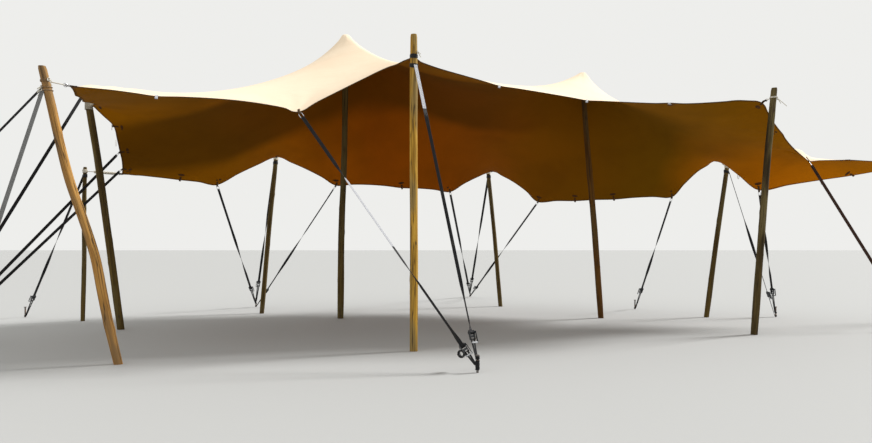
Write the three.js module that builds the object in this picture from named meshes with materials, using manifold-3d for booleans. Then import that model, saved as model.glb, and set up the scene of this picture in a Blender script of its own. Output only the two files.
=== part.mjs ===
// A freeform stretch tent: one stretched cloth over two centre poles and nine natural wood poles round its
// edge, held out by webbing guys with ratchets that run down to steel stakes.
// Millimetres, +X to the right along the front, +Y from the front to the back, +Z up, ground at z = 0.
import * as THREE from 'three';
import { mergeVertices } from 'three/addons/utils/BufferGeometryUtils.js';
import Module from 'manifold-3d';

const wasm = await Module();
wasm.setup();

// Driving sizes
const clothThickness = 12;
const meetingGap = 0.3;
const clothGap = 0.5;
const peakGap = 0.6;
const peakRoom = 400;
const peakReach = 3;
const strapWidth = 50;
const strapThickness = 6;
const ropeRadius = 8;
const lashingHeight = 70;
const lashingThickness = 11;
const stakeRadius = 14;
const stakeHeadRadius = 24;
const stakeHeadHeight = 14;
const stakeHeight = 205;
const firstLoopHeight = 26;
const loopSpacing = 60;
const usualLoop = [24, 8];

// Fineness of the round pieces
const poleSides = 12;
const poleSteps = 8;
const ropeSides = 8;
const bandSides = 12;
const stakeSides = 8;
const rodSides = 10;
const weldDistance = 1e-3;

// Cloth grid: cells along the front hem and cells from the front hem to the back hem
const cellsAcross = 44;
const cellsDeep = 24;
const hemPull = { front: 20, right: 30, back: 24, left: 40 };
const spreadReach = 8;
const padStep = 60;
const padDrop = 16;
const nearestReach = 0.5;
const ridgePull = 20;
const ridgeWidth = 1.5;
const relaxSweeps = 900;
const relaxStep = 1.9;

// Places where the cloth is held: grid point, then its real place; spread is how far doubled cloth there
// shares the load over the grid
const held = {
  frontLeft: { cell: [0, 0], at: [-4340, 8300, 3326] },
  frontLow: { cell: [12, 0], at: [-1752, 8950, 3137] },
  frontMiddle: { cell: [19, 0], at: [-315, 9600, 4000], spread: 1.5 },
  frontRight: { cell: [44, 0], at: [5234, 11170, 3718] },
  rightSlope: { cell: [44, 7], at: [5825, 11750, 3280] },
  rightLow: { cell: [44, 15], at: [6554, 12300, 2888] },
  rearRight: { cell: [44, 24], at: [9012, 12900, 2919] },
  rightBackLow: { cell: [39, 24], at: [6215, 13470, 2456] },
  backRight: { cell: [37, 24], at: [5515, 13700, 3060], spread: 1.5 },
  backLowRight: { cell: [33, 24], at: [4787, 14200, 2372] },
  backLowMiddleRight: { cell: [26, 24], at: [2229, 15300, 2331] },
  backMiddle: { cell: [22, 24], at: [1264, 15800, 3046], spread: 1.5 },
  backLowMiddleLeft: { cell: [19, 24], at: [308, 15400, 2556] },
  backLowLeft: { cell: [12, 24], at: [-2129, 14900, 2660] },
  backLeft: { cell: [8, 24], at: [-3281, 14400, 3207], spread: 1.5 },
  leftBackLow: { cell: [5, 24], at: [-4317, 13800, 2584] },
  rearLeft: { cell: [0, 24], at: [-5787, 12900, 2715] },
  leftHem: { cell: [0, 20], at: [-5580, 12350, 3050] },
  leftMiddle: { cell: [0, 16], at: [-5709, 11600, 3744] },
  leftSlope: { cell: [0, 8], at: [-5000, 9900, 3462] },
};

// Tight lines through the cloth from the front hem to the back hem: the grid line each follows, how much
// harder it pulls and how wide it is over the grid
const tightLines = [
  { cell: 6, pull: 3, width: 3 },
  { cell: 23, pull: 5.5, width: 3 },
  { cell: 33, pull: 1, width: 2 },
  { cell: 37, pull: 10, width: 1.5 },
];

// Places that the cloth settles at between its holds: on the sewn hem, most of them at the sewn-on loops, and
// just inside it along the fold behind the front left corner and over the right low hold
const settled = [
  { cell: [2, 0], at: [-3934, 8525, 3323] },
  { cell: [4, 0], at: [-3494, 8750, 3295] },
  { cell: [17, 0], at: [-714, 9430, 3797] },
  { cell: [25, 0], at: [915, 10090, 3720] },
  { cell: [31, 0], at: [2278, 10560, 3604] },
  { cell: [37, 0], at: [3636, 10900, 3633] },
  { cell: [42, 0], at: [4785, 11090, 3713] },
  { cell: [44, 19], at: [7452, 12600, 2940] },
  { cell: [42, 24], at: [7821, 13130, 2712] },
  { cell: [35, 24], at: [5141, 13800, 2833] },
  { cell: [30, 24], at: [3700, 14550, 2342] },
  { cell: [28, 24], at: [2959, 14900, 2330] },
  { cell: [16, 24], at: [-731, 15050, 2616] },
  { cell: [3, 24], at: [-4879, 13340, 2643] },
  { cell: [0, 18], at: [-5529, 12000, 3454] },
  { cell: [0, 3], at: [-4602, 8924, 3345] },
  { cell: [1, 1], at: [-4250, 8620, 3405] },
  { cell: [2, 2], at: [-4130, 8900, 3450] },
  { cell: [3, 3], at: [-4000, 9190, 3486] },
  { cell: [43, 15], at: [6440, 12420, 3105] },
];

// The two high points
const peaks = {
  centreLeft: { cell: [13, 15], at: [-1671, 13000, 5307], spread: 3.5 },
  centreRight: { cell: [28, 13], at: [2753, 13200, 4649], spread: 5 },
};

// Poles: foot on the ground, top of the axis, radius at foot and top, and sideways bows [height share, mm]
const poles = {
  pole_front_left: { foot: [-3840, 8460], top: [-4559, 8100, 3513], radii: [57, 50],
    bows: [[0.13, 7], [0.28, 31], [0.38, 52], [0.49, 22], [0.66, -25]] },
  pole_front_middle: { foot: [-303, 9450], top: [-298, 9430, 4270], radii: [58, 49],
    bows: [[0.3, 5], [0.7, -4]] },
  pole_front_right: { foot: [5045, 11100], top: [5310, 10990, 3888], radii: [58, 48],
    bows: [[0.3, -12], [0.7, -16]] },
  pole_left_middle: { foot: [-5290, 11750], top: [-5655, 11332, 3900], radii: [62, 54],
    bows: [[0.35, 14], [0.75, 20]] },
  pole_rear_left: { foot: [-6540, 12960], top: [-6366, 12700, 2824], radii: [40, 36],
    bows: [[0.4, 9], [0.75, -8]] },
  pole_centre_left: { foot: [-1830, 13400], top: [-1671, 13000, 5307], radii: [62, 52],
    bows: [[0.3, -12], [0.6, 12]], under: 'centreLeft' },
  pole_centre_right: { foot: [3170, 13460], top: [2753, 13200, 4649], radii: [58, 48],
    bows: [[0.4, 10], [0.7, -8]], under: 'centreRight' },
  pole_back_left: { foot: [-3560, 14300], top: [-3318, 14560, 3320], radii: [50, 44],
    bows: [[0.5, -8]] },
  pole_back_middle: { foot: [1457, 15810], top: [1185, 15980, 3130], radii: [49, 43],
    bows: [[0.5, 9]] },
  pole_back_right: { foot: [5252, 13600], top: [5790, 13880, 3080], radii: [50, 44],
    bows: [[0.5, -9]] },
  pole_rear_right: { foot: [9420, 13100], top: [9300, 12980, 3080], radii: [50, 44],
    bows: [[0.5, 8]] },
};

// Rope ties from a held point of the hem to its pole: the height of the lashing on the pole
const ties = {
  tie_front_left: { hold: 'frontLeft', pole: 'pole_front_left', height: 3345 },
  tie_front_middle: { hold: 'frontMiddle', pole: 'pole_front_middle', height: 3975 },
  tie_front_right: { hold: 'frontRight', pole: 'pole_front_right', height: 3740 },
  tie_left_middle: { hold: 'leftMiddle', pole: 'pole_left_middle', height: 3690 },
  tie_rear_left: { hold: 'rearLeft', pole: 'pole_rear_left', height: 2750 },
  tie_back_left: { hold: 'backLeft', pole: 'pole_back_left', height: 3200 },
  tie_back_middle: { hold: 'backMiddle', pole: 'pole_back_middle', height: 3040 },
  tie_back_right: { hold: 'backRight', pole: 'pole_back_right', height: 2960 },
  tie_rear_right: { hold: 'rearRight', pole: 'pole_rear_right', height: 2900 },
};

// Stakes: place on the ground
const stakes = {
  stake_front: [469, 7910],
  stake_front_left: [-4430, 6200],
  stake_left_front: [-7750, 8100],
  stake_left: [-6900, 9550],
  stake_rear_left: [-7980, 13600],
  stake_back_left: [-4030, 15670],
  stake_back_middle: [900, 18500],
  stake_back_right: [4320, 15200],
  stake_right_back: [6620, 13640],
  stake_right: [7820, 11400],
  stake_rear_right: [10550, 13900],
};

// Guys: from a held point of the hem or from a pole at a height, to a stake. Slot is the place on the stake,
// and wound is the height and thickness of the turns there where they aren't the usual loop. Reach is how far
// its ratchet is from the stake where it isn't the usual one. Roll turns the strap and the ratchet about the
// strap's own line, and turn moves its start round the pole from the side that faces the stake, in degrees.
// Wrap is the height of its wrap round the pole where it isn't the strap's width
const guys = {
  guy_front_low: {
    hold: 'frontLow', stake: 'stake_front', slot: 1, wound: [110, 15], reach: 230, roll: 50, lever: true,
    tail: true },
  guy_front_pole: {
    pole: 'pole_front_middle', height: 3850, stake: 'stake_front', slot: 2.4, wound: [38, 15], reach: 263,
    lever: true },
  guy_front_left_fore: {
    pole: 'pole_front_left', height: 3236, stake: 'stake_front_left', slot: 0, roll: 70, turn: -60, wrap: 24 },
  guy_front_left_side: {
    pole: 'pole_front_left', height: 3272, stake: 'stake_left_front', slot: 0, wrap: 24 },
  guy_left_pole: { pole: 'pole_left_middle', height: 3860, stake: 'stake_left', slot: 2 },
  guy_left_hem: { hold: 'leftHem', stake: 'stake_left', slot: 1 },
  guy_left_corner: { cell: [0, 23], stake: 'stake_left', slot: 0 },
  guy_rear_left: { pole: 'pole_rear_left', height: 2660, stake: 'stake_rear_left', slot: 0 },
  guy_back_left_low: { hold: 'leftBackLow', stake: 'stake_back_left', slot: 1 },
  guy_back_left_pole: { pole: 'pole_back_left', height: 3100, stake: 'stake_back_left', slot: 2 },
  guy_back_left_inner: { hold: 'backLowLeft', stake: 'stake_back_left', slot: 0 },
  guy_back_middle_left: { hold: 'backLowMiddleLeft', stake: 'stake_back_middle', slot: 1 },
  guy_back_middle_pole: { pole: 'pole_back_middle', height: 2940, stake: 'stake_back_middle', slot: 2 },
  guy_back_middle_right: { hold: 'backLowMiddleRight', stake: 'stake_back_middle', slot: 0 },
  guy_back_right_low: { hold: 'backLowRight', stake: 'stake_back_right', slot: 0 },
  guy_right_back_low: { hold: 'rightBackLow', stake: 'stake_right_back', slot: 1 },
  guy_right_back_pole: { pole: 'pole_back_right', height: 2850, stake: 'stake_right_back', slot: 0 },
  guy_right_low: { hold: 'rightLow', stake: 'stake_right', slot: 0 },
  guy_rear_right: { pole: 'pole_rear_right', height: 2790, stake: 'stake_rear_right', slot: 0 },
};

// Ratchet: two cheeks with a spool and a crossbar between them. The lever swings on the spool's axle. The
// bore is its hole for the axle, and seating is how far a rod reaches into a cheek. The tail is the spare end
// of the strap, rolled up under the ratchet
const usualReach = 430;
const cheekLength = 120;
const cheekHeight = 34;
const cheekThickness = 4;
const cheekGap = 56;
const spoolRadius = 13;
const spoolOffset = 30;
const axleRadius = 5;
const axleHalfLength = 47;
const leverThickness = 4;
const leverInside = 76;
const leverLength = 125;
const leverWidth = 22;
const leverRise = 30;
const leverBore = 5.6;
const gripRadius = 9;
const crossbarInset = 12;
const seating = 1;
const boreOvershoot = 5;
const tailRadius = 50;
const tailHole = 26;
const tailWidth = 38;
const tailPlace = [30, 7, -65];
const tailSides = 20;

// Colours and finishes
const sand = new THREE.MeshStandardMaterial({ color: 0xe0bf90, roughness: 0.85, metalness: 0 });
const peeledWood = new THREE.MeshStandardMaterial({ color: 0x94704a, roughness: 0.8, metalness: 0 });
const blackWebbing = new THREE.MeshStandardMaterial({ color: 0x1d1d20, roughness: 0.7, metalness: 0 });
const whiteRope = new THREE.MeshStandardMaterial({ color: 0xe6ddc8, roughness: 0.9, metalness: 0 });
const steel = new THREE.MeshStandardMaterial({ color: 0x55575a, roughness: 0.45, metalness: 0.9 });

// Solids that are cut or joined: geometry in, geometry out
function solidOf(geometry) {
  const bare = geometry.clone();
  bare.deleteAttribute('normal');
  bare.deleteAttribute('uv');
  const merged = mergeVertices(bare, weldDistance);
  const mesh = new wasm.Mesh({
    numProp: 3,
    vertProperties: new Float32Array(merged.attributes.position.array),
    triVerts: new Uint32Array(merged.index.array),
  });
  return new wasm.Manifold(mesh);
}

function geometryOf(solid) {
  const mesh = solid.getMesh();
  const geometry = new THREE.BufferGeometry();
  geometry.setAttribute('position', new THREE.BufferAttribute(new Float32Array(mesh.vertProperties), 3));
  geometry.setIndex(new THREE.BufferAttribute(new Uint32Array(mesh.triVerts), 1));
  geometry.computeVertexNormals();
  return geometry;
}

function joined(solids) {
  return solids.reduce((sum, solid) => sum.add(solid));
}

function biggestBody(solid) {
  const bodies = solid.decompose();
  return bodies.reduce((best, body) => (body.volume() > best.volume() ? body : best));
}

const upright = new THREE.Vector3(0, 0, 1);

function vector(place) {
  return new THREE.Vector3(...place);
}

// Cloth: each free grid point comes to rest between its neighbours, which pull harder along the hem, round
// each peak, where the cloth is doubled, and along the taut ridge from the left peak to the front middle pole
const ridge = new THREE.Line3(
  new THREE.Vector3(...peaks.centreLeft.cell, 0),
  new THREE.Vector3(...held.frontMiddle.cell, 0),
);

function pullAt(i, j) {
  let pull = 1;
  for (const { cell, spread = 0 } of [...Object.values(held), ...Object.values(peaks)]) {
    const reach = Math.hypot(i - cell[0], j - cell[1]);
    pull += (spread / Math.max(reach, nearestReach)) * Math.exp(-((reach / spreadReach) ** 2));
  }
  const toRidge = ridge.closestPointToPoint(new THREE.Vector3(i, j, 0), true, new THREE.Vector3());
  pull += ridgePull * Math.exp(-((Math.hypot(i - toRidge.x, j - toRidge.y) / ridgeWidth) ** 2));
  return pull;
}

function acrossPull(i, j) {
  if (j === 0) return hemPull.front;
  return j === cellsDeep ? hemPull.back : pullAt(i + 0.5, j);
}

function deepPull(i, j) {
  if (i === 0) return hemPull.left;
  if (i === cellsAcross) return hemPull.right;
  const tight = tightLines.reduce((sum, line) => (
    sum + line.pull * Math.exp(-(((i - line.cell) / line.width) ** 2))), 0);
  return pullAt(i, j + 0.5) + tight;
}

function startGrid() {
  const holds = [held.frontLeft, held.frontRight, held.rearLeft, held.backRight];
  const corners = holds.map((hold) => vector(hold.at));
  const grid = [];
  for (let i = 0; i <= cellsAcross; i += 1) {
    grid.push([]);
    for (let j = 0; j <= cellsDeep; j += 1) {
      const front = corners[0].clone().lerp(corners[1], i / cellsAcross);
      const back = corners[2].clone().lerp(corners[3], i / cellsAcross);
      grid[i].push(front.lerp(back, j / cellsDeep));
    }
  }
  return grid;
}

// The points of the grid that stay where they are: each hold, and a small crowned pad on each centre pole
function fixHeldPoints(grid) {
  const fixed = new Set();
  const fix = (i, j, place) => {
    grid[i][j].copy(place);
    fixed.add(grid[i][j]);
  };
  for (const hold of [...Object.values(held), ...settled]) fix(...hold.cell, vector(hold.at));
  for (const peak of Object.values(peaks)) {
    const [middleI, middleJ] = peak.cell;
    for (const i of [-1, 0, 1]) {
      for (const j of [-1, 0, 1]) {
        const offset = new THREE.Vector3(i * padStep, j * padStep, -padDrop * (i * i + j * j));
        fix(middleI + i, middleJ + j, vector(peak.at).add(offset));
      }
    }
  }
  return fixed;
}

function relaxedCloth() {
  const grid = startGrid();
  const fixed = fixHeldPoints(grid);
  const free = [];
  for (let i = 0; i <= cellsAcross; i += 1) {
    for (let j = 0; j <= cellsDeep; j += 1) {
      if (fixed.has(grid[i][j])) continue;
      const links = [];
      if (i > 0) links.push([grid[i - 1][j], acrossPull(i - 1, j)]);
      if (i < cellsAcross) links.push([grid[i + 1][j], acrossPull(i, j)]);
      if (j > 0) links.push([grid[i][j - 1], deepPull(i, j - 1)]);
      if (j < cellsDeep) links.push([grid[i][j + 1], deepPull(i, j)]);
      const total = links.reduce((sum, link) => sum + link[1], 0);
      free.push({ point: grid[i][j], links, total });
    }
  }
  const rest = new THREE.Vector3();
  for (let sweep = 0; sweep < relaxSweeps; sweep += 1) {
    for (const { point, links, total } of free) {
      rest.set(0, 0, 0);
      for (const [neighbour, pull] of links) rest.addScaledVector(neighbour, pull / total);
      point.lerp(rest, relaxStep);
    }
  }
  return grid;
}

function clothNormal(grid, i, j) {
  const across = grid[Math.min(i + 1, cellsAcross)][j].clone().sub(grid[Math.max(i - 1, 0)][j]);
  const deep = grid[i][Math.min(j + 1, cellsDeep)].clone().sub(grid[i][Math.max(j - 1, 0)]);
  return across.cross(deep).normalize();
}

// The hem's grid points in order round the cloth, seen from above and against the clock
function hemRing() {
  const ring = [];
  for (let i = 0; i < cellsAcross; i += 1) ring.push([i, 0]);
  for (let j = 0; j < cellsDeep; j += 1) ring.push([cellsAcross, j]);
  for (let i = cellsAcross; i > 0; i -= 1) ring.push([i, cellsDeep]);
  for (let j = cellsDeep; j > 0; j -= 1) ring.push([0, j]);
  return ring;
}

// Outward from the hem in the cloth's own surface, and nothing inside it
function hemOutward(grid, i, j) {
  const place = hem.findIndex((spot) => spot[0] === i && spot[1] === j);
  const outward = new THREE.Vector3();
  if (place < 0) return outward;
  const [before, here, after] = [-1, 0, 1].map((step) => {
    const [nextI, nextJ] = hem[(place + step + hem.length) % hem.length];
    return grid[nextI][nextJ];
  });
  const normal = clothNormal(grid, i, j);
  for (const [from, to] of [[before, here], [here, after]]) {
    outward.add(to.clone().sub(from).normalize().cross(normal));
  }
  return outward.normalize();
}

const hem = hemRing();

// A closed shell over a block of the grid: low and high place its two skins from a grid point and its normal
const wholeCloth = [0, cellsAcross, 0, cellsDeep];

function clothShell(block, low, high) {
  const [firstI, lastI, firstJ, lastJ] = block;
  const row = lastJ - firstJ + 1;
  const skin = (lastI - firstI + 1) * row;
  const positions = [];
  for (const place of [low, high]) {
    for (let i = firstI; i <= lastI; i += 1) {
      for (let j = firstJ; j <= lastJ; j += 1) {
        const point = place(cloth[i][j].clone(), clothNormal(cloth, i, j), hemOutward(cloth, i, j));
        positions.push(point.x, point.y, point.z);
      }
    }
  }
  const index = [];
  const at = (i, j, level) => level * skin + (i - firstI) * row + j - firstJ;
  const quad = (a, b, c, d) => index.push(a, b, c, a, c, d);
  for (let i = firstI; i < lastI; i += 1) {
    for (let j = firstJ; j < lastJ; j += 1) {
      quad(at(i, j, 1), at(i + 1, j, 1), at(i + 1, j + 1, 1), at(i, j + 1, 1));
      const [a, b, c, d] = [at(i, j, 0), at(i + 1, j, 0), at(i + 1, j + 1, 0), at(i, j + 1, 0)];
      index.push(a, c, b, a, d, c);
    }
    quad(at(i, firstJ, 0), at(i + 1, firstJ, 0), at(i + 1, firstJ, 1), at(i, firstJ, 1));
    quad(at(i + 1, lastJ, 0), at(i, lastJ, 0), at(i, lastJ, 1), at(i + 1, lastJ, 1));
  }
  for (let j = firstJ; j < lastJ; j += 1) {
    quad(at(firstI, j + 1, 0), at(firstI, j, 0), at(firstI, j, 1), at(firstI, j + 1, 1));
    quad(at(lastI, j, 0), at(lastI, j + 1, 0), at(lastI, j + 1, 1), at(lastI, j, 1));
  }
  const geometry = new THREE.BufferGeometry();
  geometry.setAttribute('position', new THREE.Float32BufferAttribute(positions, 3));
  geometry.setIndex(index);
  geometry.computeVertexNormals();
  return geometry;
}

function offsetShell(extra) {
  const half = clothThickness / 2 + extra;
  return clothShell(
    wholeCloth,
    (point, normal, outward) => point.addScaledVector(normal, -half).addScaledVector(outward, 2 * extra),
    (point, normal, outward) => point.addScaledVector(normal, half).addScaledVector(outward, 2 * extra),
  );
}

const cloth = relaxedCloth();
const clothGeometry = offsetShell(0);
const clothSolid = solidOf(clothGeometry);
const clothClearance = solidOf(offsetShell(clothGap));

// The room from the cloth's underside upward round a peak, which a centre pole stops short of
function roomAbovePeak(peak) {
  const [i, j] = peak.cell;
  const underside = (point, normal) => point.addScaledVector(normal, -clothThickness / 2);
  const lift = (point, rise) => point.add(new THREE.Vector3(0, 0, rise));
  return solidOf(clothShell(
    [i - peakReach, i + peakReach, j - peakReach, j + peakReach],
    (point, normal) => lift(underside(point, normal), -peakGap),
    (point, normal) => lift(underside(point, normal), peakRoom),
  ));
}

// Poles
function poleAxis(pole, height) {
  const share = height / pole.top[2];
  const stops = [[0, 0], ...pole.bows, [1, 0]];
  const next = Math.max(1, stops.findIndex((stop) => stop[0] >= share));
  const [fromShare, fromBow] = stops[next - 1];
  const [toShare, toBow] = stops[next];
  const bow = THREE.MathUtils.lerp(fromBow, toBow, THREE.MathUtils.smoothstep(share, fromShare, toShare));
  return new THREE.Vector3(
    THREE.MathUtils.lerp(pole.foot[0], pole.top[0], share) + bow,
    THREE.MathUtils.lerp(pole.foot[1], pole.top[1], share),
    height,
  );
}

function poleRadius(pole, height) {
  return THREE.MathUtils.lerp(pole.radii[0], pole.radii[1], height / pole.top[2]);
}

function poleGeometry(pole, extra) {
  const height = pole.top[2];
  const geometry = new THREE.CylinderGeometry(
    pole.radii[1] + extra, pole.radii[0] + extra, height, poleSides, poleSteps);
  geometry.rotateX(Math.PI / 2);
  geometry.translate(0, 0, height / 2);
  const spots = geometry.attributes.position;
  for (let k = 0; k < spots.count; k += 1) {
    const z = THREE.MathUtils.clamp(spots.getZ(k), 0, height);
    const axis = poleAxis(pole, z);
    spots.setXYZ(k, spots.getX(k) + axis.x, spots.getY(k) + axis.y, z);
  }
  return geometry;
}

function poleSolid(pole) {
  const wood = solidOf(poleGeometry(pole, 0));
  return pole.under ? clearOfCloth(wood.subtract(roomAbovePeak(peaks[pole.under]))) : wood;
}

// Straps, ropes and lashings
function clearOfCloth(solid) {
  return biggestBody(solid.subtract(clothClearance).subtract(clothSolid));
}

function placedBetween(geometry, from, to) {
  const along = to.clone().sub(from).normalize();
  const sideways = upright.clone().cross(along).normalize();
  const upward = along.clone().cross(sideways);
  const frame = new THREE.Matrix4().makeBasis(sideways, upward, along);
  frame.setPosition(from.clone().add(to).multiplyScalar(0.5));
  return geometry.applyMatrix4(frame);
}

function ropeSolid(from, to) {
  const rope = new THREE.CylinderGeometry(ropeRadius, ropeRadius, from.distanceTo(to), ropeSides);
  rope.rotateX(Math.PI / 2);
  return solidOf(placedBetween(rope, from, to));
}

function bandSolid(centre, radius, height) {
  const band = new THREE.CylinderGeometry(radius, radius, height, bandSides);
  band.rotateX(Math.PI / 2);
  band.translate(centre.x, centre.y, centre.z);
  return solidOf(band);
}

function poleBand(pole, height, bandHeight) {
  return bandSolid(poleAxis(pole, height), poleRadius(pole, height) + lashingThickness, bandHeight);
}

function tieSolid(tie) {
  const pole = poles[tie.pole];
  const band = poleBand(pole, tie.height, lashingHeight);
  const rope = ropeSolid(poleAxis(pole, tie.height), vector(held[tie.hold].at));
  const raw = joined([band, rope]);
  return clearOfCloth(raw.subtract(solidOf(poleGeometry(pole, meetingGap))));
}

// Stakes
function stakeAt(name) {
  return new THREE.Vector3(stakes[name][0], stakes[name][1], 0);
}

function stakeSolid(name, extra) {
  const shaftRadius = stakeRadius + extra;
  const headRadius = stakeHeadRadius + extra;
  const shaft = new THREE.CylinderGeometry(shaftRadius, shaftRadius, stakeHeight, stakeSides);
  shaft.rotateX(Math.PI / 2);
  shaft.translate(0, 0, stakeHeight / 2);
  const head = new THREE.CylinderGeometry(headRadius, headRadius, stakeHeadHeight, stakeSides);
  head.rotateX(Math.PI / 2);
  head.translate(0, 0, stakeHeight - stakeHeadHeight / 2);
  return joined([solidOf(shaft), solidOf(head)]).translate(stakeAt(name).toArray());
}

// Ratchets, in their own frame: x down the guy to the stake, y along the axle, z away from the ground
function box(size, centre) {
  const geometry = new THREE.BoxGeometry(...size);
  geometry.translate(...centre);
  return solidOf(geometry);
}

function rod(radius, halfLength, x, z) {
  const geometry = new THREE.CylinderGeometry(radius, radius, 2 * halfLength, rodSides);
  geometry.translate(x, 0, z);
  return solidOf(geometry);
}

function ratchetBody() {
  const cheekPlace = cheekGap / 2 + cheekThickness / 2;
  return joined([
    box([cheekLength, cheekThickness, cheekHeight], [0, cheekPlace, 0]),
    box([cheekLength, cheekThickness, cheekHeight], [0, -cheekPlace, 0]),
    rod(spoolRadius, cheekGap / 2 + seating, -spoolOffset, 0),
    rod(axleRadius, axleHalfLength, -spoolOffset, 0),
    rod(axleRadius, cheekGap / 2 + seating, cheekLength / 2 - crossbarInset, 0),
  ]);
}

function leverSolid() {
  const armPlace = leverInside / 2 + leverThickness / 2;
  const armMiddle = leverLength / 2 - spoolOffset;
  const armSize = [leverLength, leverThickness, leverWidth];
  const earSize = [leverWidth, leverThickness, leverRise + leverWidth];
  const parts = [];
  for (const side of [-1, 1]) {
    parts.push(box(armSize, [armMiddle, side * armPlace, leverRise]));
    parts.push(box(earSize, [-spoolOffset, side * armPlace, leverRise / 2]));
  }
  parts.push(rod(gripRadius, leverInside / 2 + leverThickness, leverLength - spoolOffset, leverRise));
  return joined(parts).subtract(rod(leverBore, axleHalfLength + boreOvershoot, -spoolOffset, 0));
}

// The spare end: a flat ring of webbing turns, its axis level
function tailSolid() {
  const profile = [[1, -1], [0, -1], [0, 1], [1, 1], [1, -1]].map(([inner, side]) => (
    new THREE.Vector2(inner ? tailHole : tailRadius, (side * tailWidth) / 2)));
  const ring = new THREE.LatheGeometry(profile, tailSides);
  ring.translate(...tailPlace);
  return solidOf(ring);
}

function ratchetFrame(guy, roll = 0) {
  const { from, foot } = guyEnds(guy);
  const down = foot.clone().sub(from).normalize();
  const axle = upright.clone().cross(down).normalize();
  axle.applyAxisAngle(down, THREE.MathUtils.degToRad(roll));
  const away = down.clone().cross(axle);
  const frame = new THREE.Matrix4().makeBasis(down, axle, away);
  frame.setPosition(foot.clone().addScaledVector(down, -(guy.reach ?? usualReach)));
  return frame;
}

function strapBody(guy) {
  const { from, foot } = guyEnds(guy);
  const length = from.distanceTo(foot);
  return box([length, strapWidth, strapThickness], [(guy.reach ?? usualReach) - length / 2, 0, 0]);
}

function placed(solid, frame) {
  return solidOf(geometryOf(solid).applyMatrix4(frame));
}

// Guys
function guyFrom(guy) {
  if (guy.cell) return cloth[guy.cell[0]][guy.cell[1]].clone();
  if (guy.hold) return vector(held[guy.hold].at);
  const pole = poles[guy.pole];
  const axis = poleAxis(pole, guy.height);
  const outward = stakeAt(guy.stake).sub(axis).setZ(0);
  outward.setLength(poleRadius(pole, guy.height) + lashingThickness / 2);
  return axis.add(outward.applyAxisAngle(upright, THREE.MathUtils.degToRad(guy.turn ?? 0)));
}

function guyEnds(guy) {
  const from = guyFrom(guy);
  const stake = stakeAt(guy.stake).setZ(firstLoopHeight + guy.slot * loopSpacing);
  const [, thickness] = guy.wound ?? usualLoop;
  const outOfStake = from.clone().sub(stake).setZ(0).setLength(stakeRadius + thickness / 2);
  return { from, stake, foot: stake.clone().add(outOfStake) };
}

function guySolid(guy) {
  const frame = ratchetFrame(guy, guy.roll);
  const [height, thickness] = guy.wound ?? usualLoop;
  const loop = bandSolid(guyEnds(guy).stake, stakeRadius + thickness, height);
  let raw = joined([placed(strapBody(guy), frame), placed(ratchetBody(), frame), loop]);
  if (guy.tail) raw = raw.add(placed(tailSolid(), ratchetFrame(guy)));
  if (guy.pole) {
    const pole = poles[guy.pole];
    raw = raw.add(poleBand(pole, guy.height, guy.wrap ?? strapWidth));
    raw = raw.subtract(solidOf(poleGeometry(pole, meetingGap)));
  } else {
    raw = clearOfCloth(raw);
  }
  return biggestBody(raw.subtract(stakeSolid(guy.stake, meetingGap)));
}

// The assembly
const tent = new THREE.Group();

function addPiece(name, geometry, material) {
  const mesh = new THREE.Mesh(geometry, material);
  mesh.name = name;
  tent.add(mesh);
}

addPiece('canopy', clothGeometry, sand);
for (const [name, pole] of Object.entries(poles)) addPiece(name, geometryOf(poleSolid(pole)), peeledWood);
for (const [name, tie] of Object.entries(ties)) addPiece(name, geometryOf(tieSolid(tie)), whiteRope);
for (const name of Object.keys(stakes)) addPiece(name, geometryOf(stakeSolid(name, 0)), steel);
for (const [name, guy] of Object.entries(guys)) {
  addPiece(name, geometryOf(guySolid(guy)), blackWebbing);
  if (guy.lever) {
    const lever = placed(leverSolid(), ratchetFrame(guy, guy.roll));
    addPiece(name.replace('guy', 'ratchet_lever'), geometryOf(lever), steel);
  }
}

// The whole stands centred over its own origin
const bounds = new THREE.Box3().setFromObject(tent);
const middle = bounds.getCenter(new THREE.Vector3());
tent.position.set(-middle.x, -middle.y, -bounds.min.z);

export default tent;
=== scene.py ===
# %% [markdown]
# # A stretch tent
# A freeform tent is one sheet of stretch fabric. Two centre poles lift it, natural wood poles and rope ties
# hold its edge up, and webbing guys with ratchets pull it out to steel stakes. The construction comes in as
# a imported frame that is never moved. The cells below put the real surfaces on it: fine cloth with its folds
# and patches, knotty poles, coiled rope, woven straps and worn steel.

# %% Load the frame
import math

import bpy
import numpy as np
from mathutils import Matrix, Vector


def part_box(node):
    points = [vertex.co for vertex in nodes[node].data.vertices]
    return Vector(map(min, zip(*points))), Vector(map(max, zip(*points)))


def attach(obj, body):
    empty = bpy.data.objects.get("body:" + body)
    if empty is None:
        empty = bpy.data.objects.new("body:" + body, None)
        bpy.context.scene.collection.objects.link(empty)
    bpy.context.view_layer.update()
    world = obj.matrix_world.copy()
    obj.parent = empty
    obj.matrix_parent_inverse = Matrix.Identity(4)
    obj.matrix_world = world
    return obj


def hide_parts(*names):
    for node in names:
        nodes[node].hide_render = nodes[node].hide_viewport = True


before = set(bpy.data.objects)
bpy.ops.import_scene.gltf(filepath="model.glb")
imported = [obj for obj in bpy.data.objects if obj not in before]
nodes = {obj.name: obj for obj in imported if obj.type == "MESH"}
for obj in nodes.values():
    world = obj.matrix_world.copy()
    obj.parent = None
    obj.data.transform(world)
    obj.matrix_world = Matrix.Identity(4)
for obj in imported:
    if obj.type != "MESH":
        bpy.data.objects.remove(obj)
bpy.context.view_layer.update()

# %% [markdown]
# ## Camera
# The view is a level one from eye height in front of the tent. A shift of the lens, and no tilt, puts the
# horizon a little below the middle of the picture, so upright poles stay upright.

# %% Camera
PHOTO_WIDTH = 872
PHOTO_HEIGHT = 443
FOCAL_PIXELS = 700
HORIZON_ROW = 240
SENSOR_WIDTH = 36.0
EYE = Vector((-1.285, -12.35, 1.5))

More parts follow.
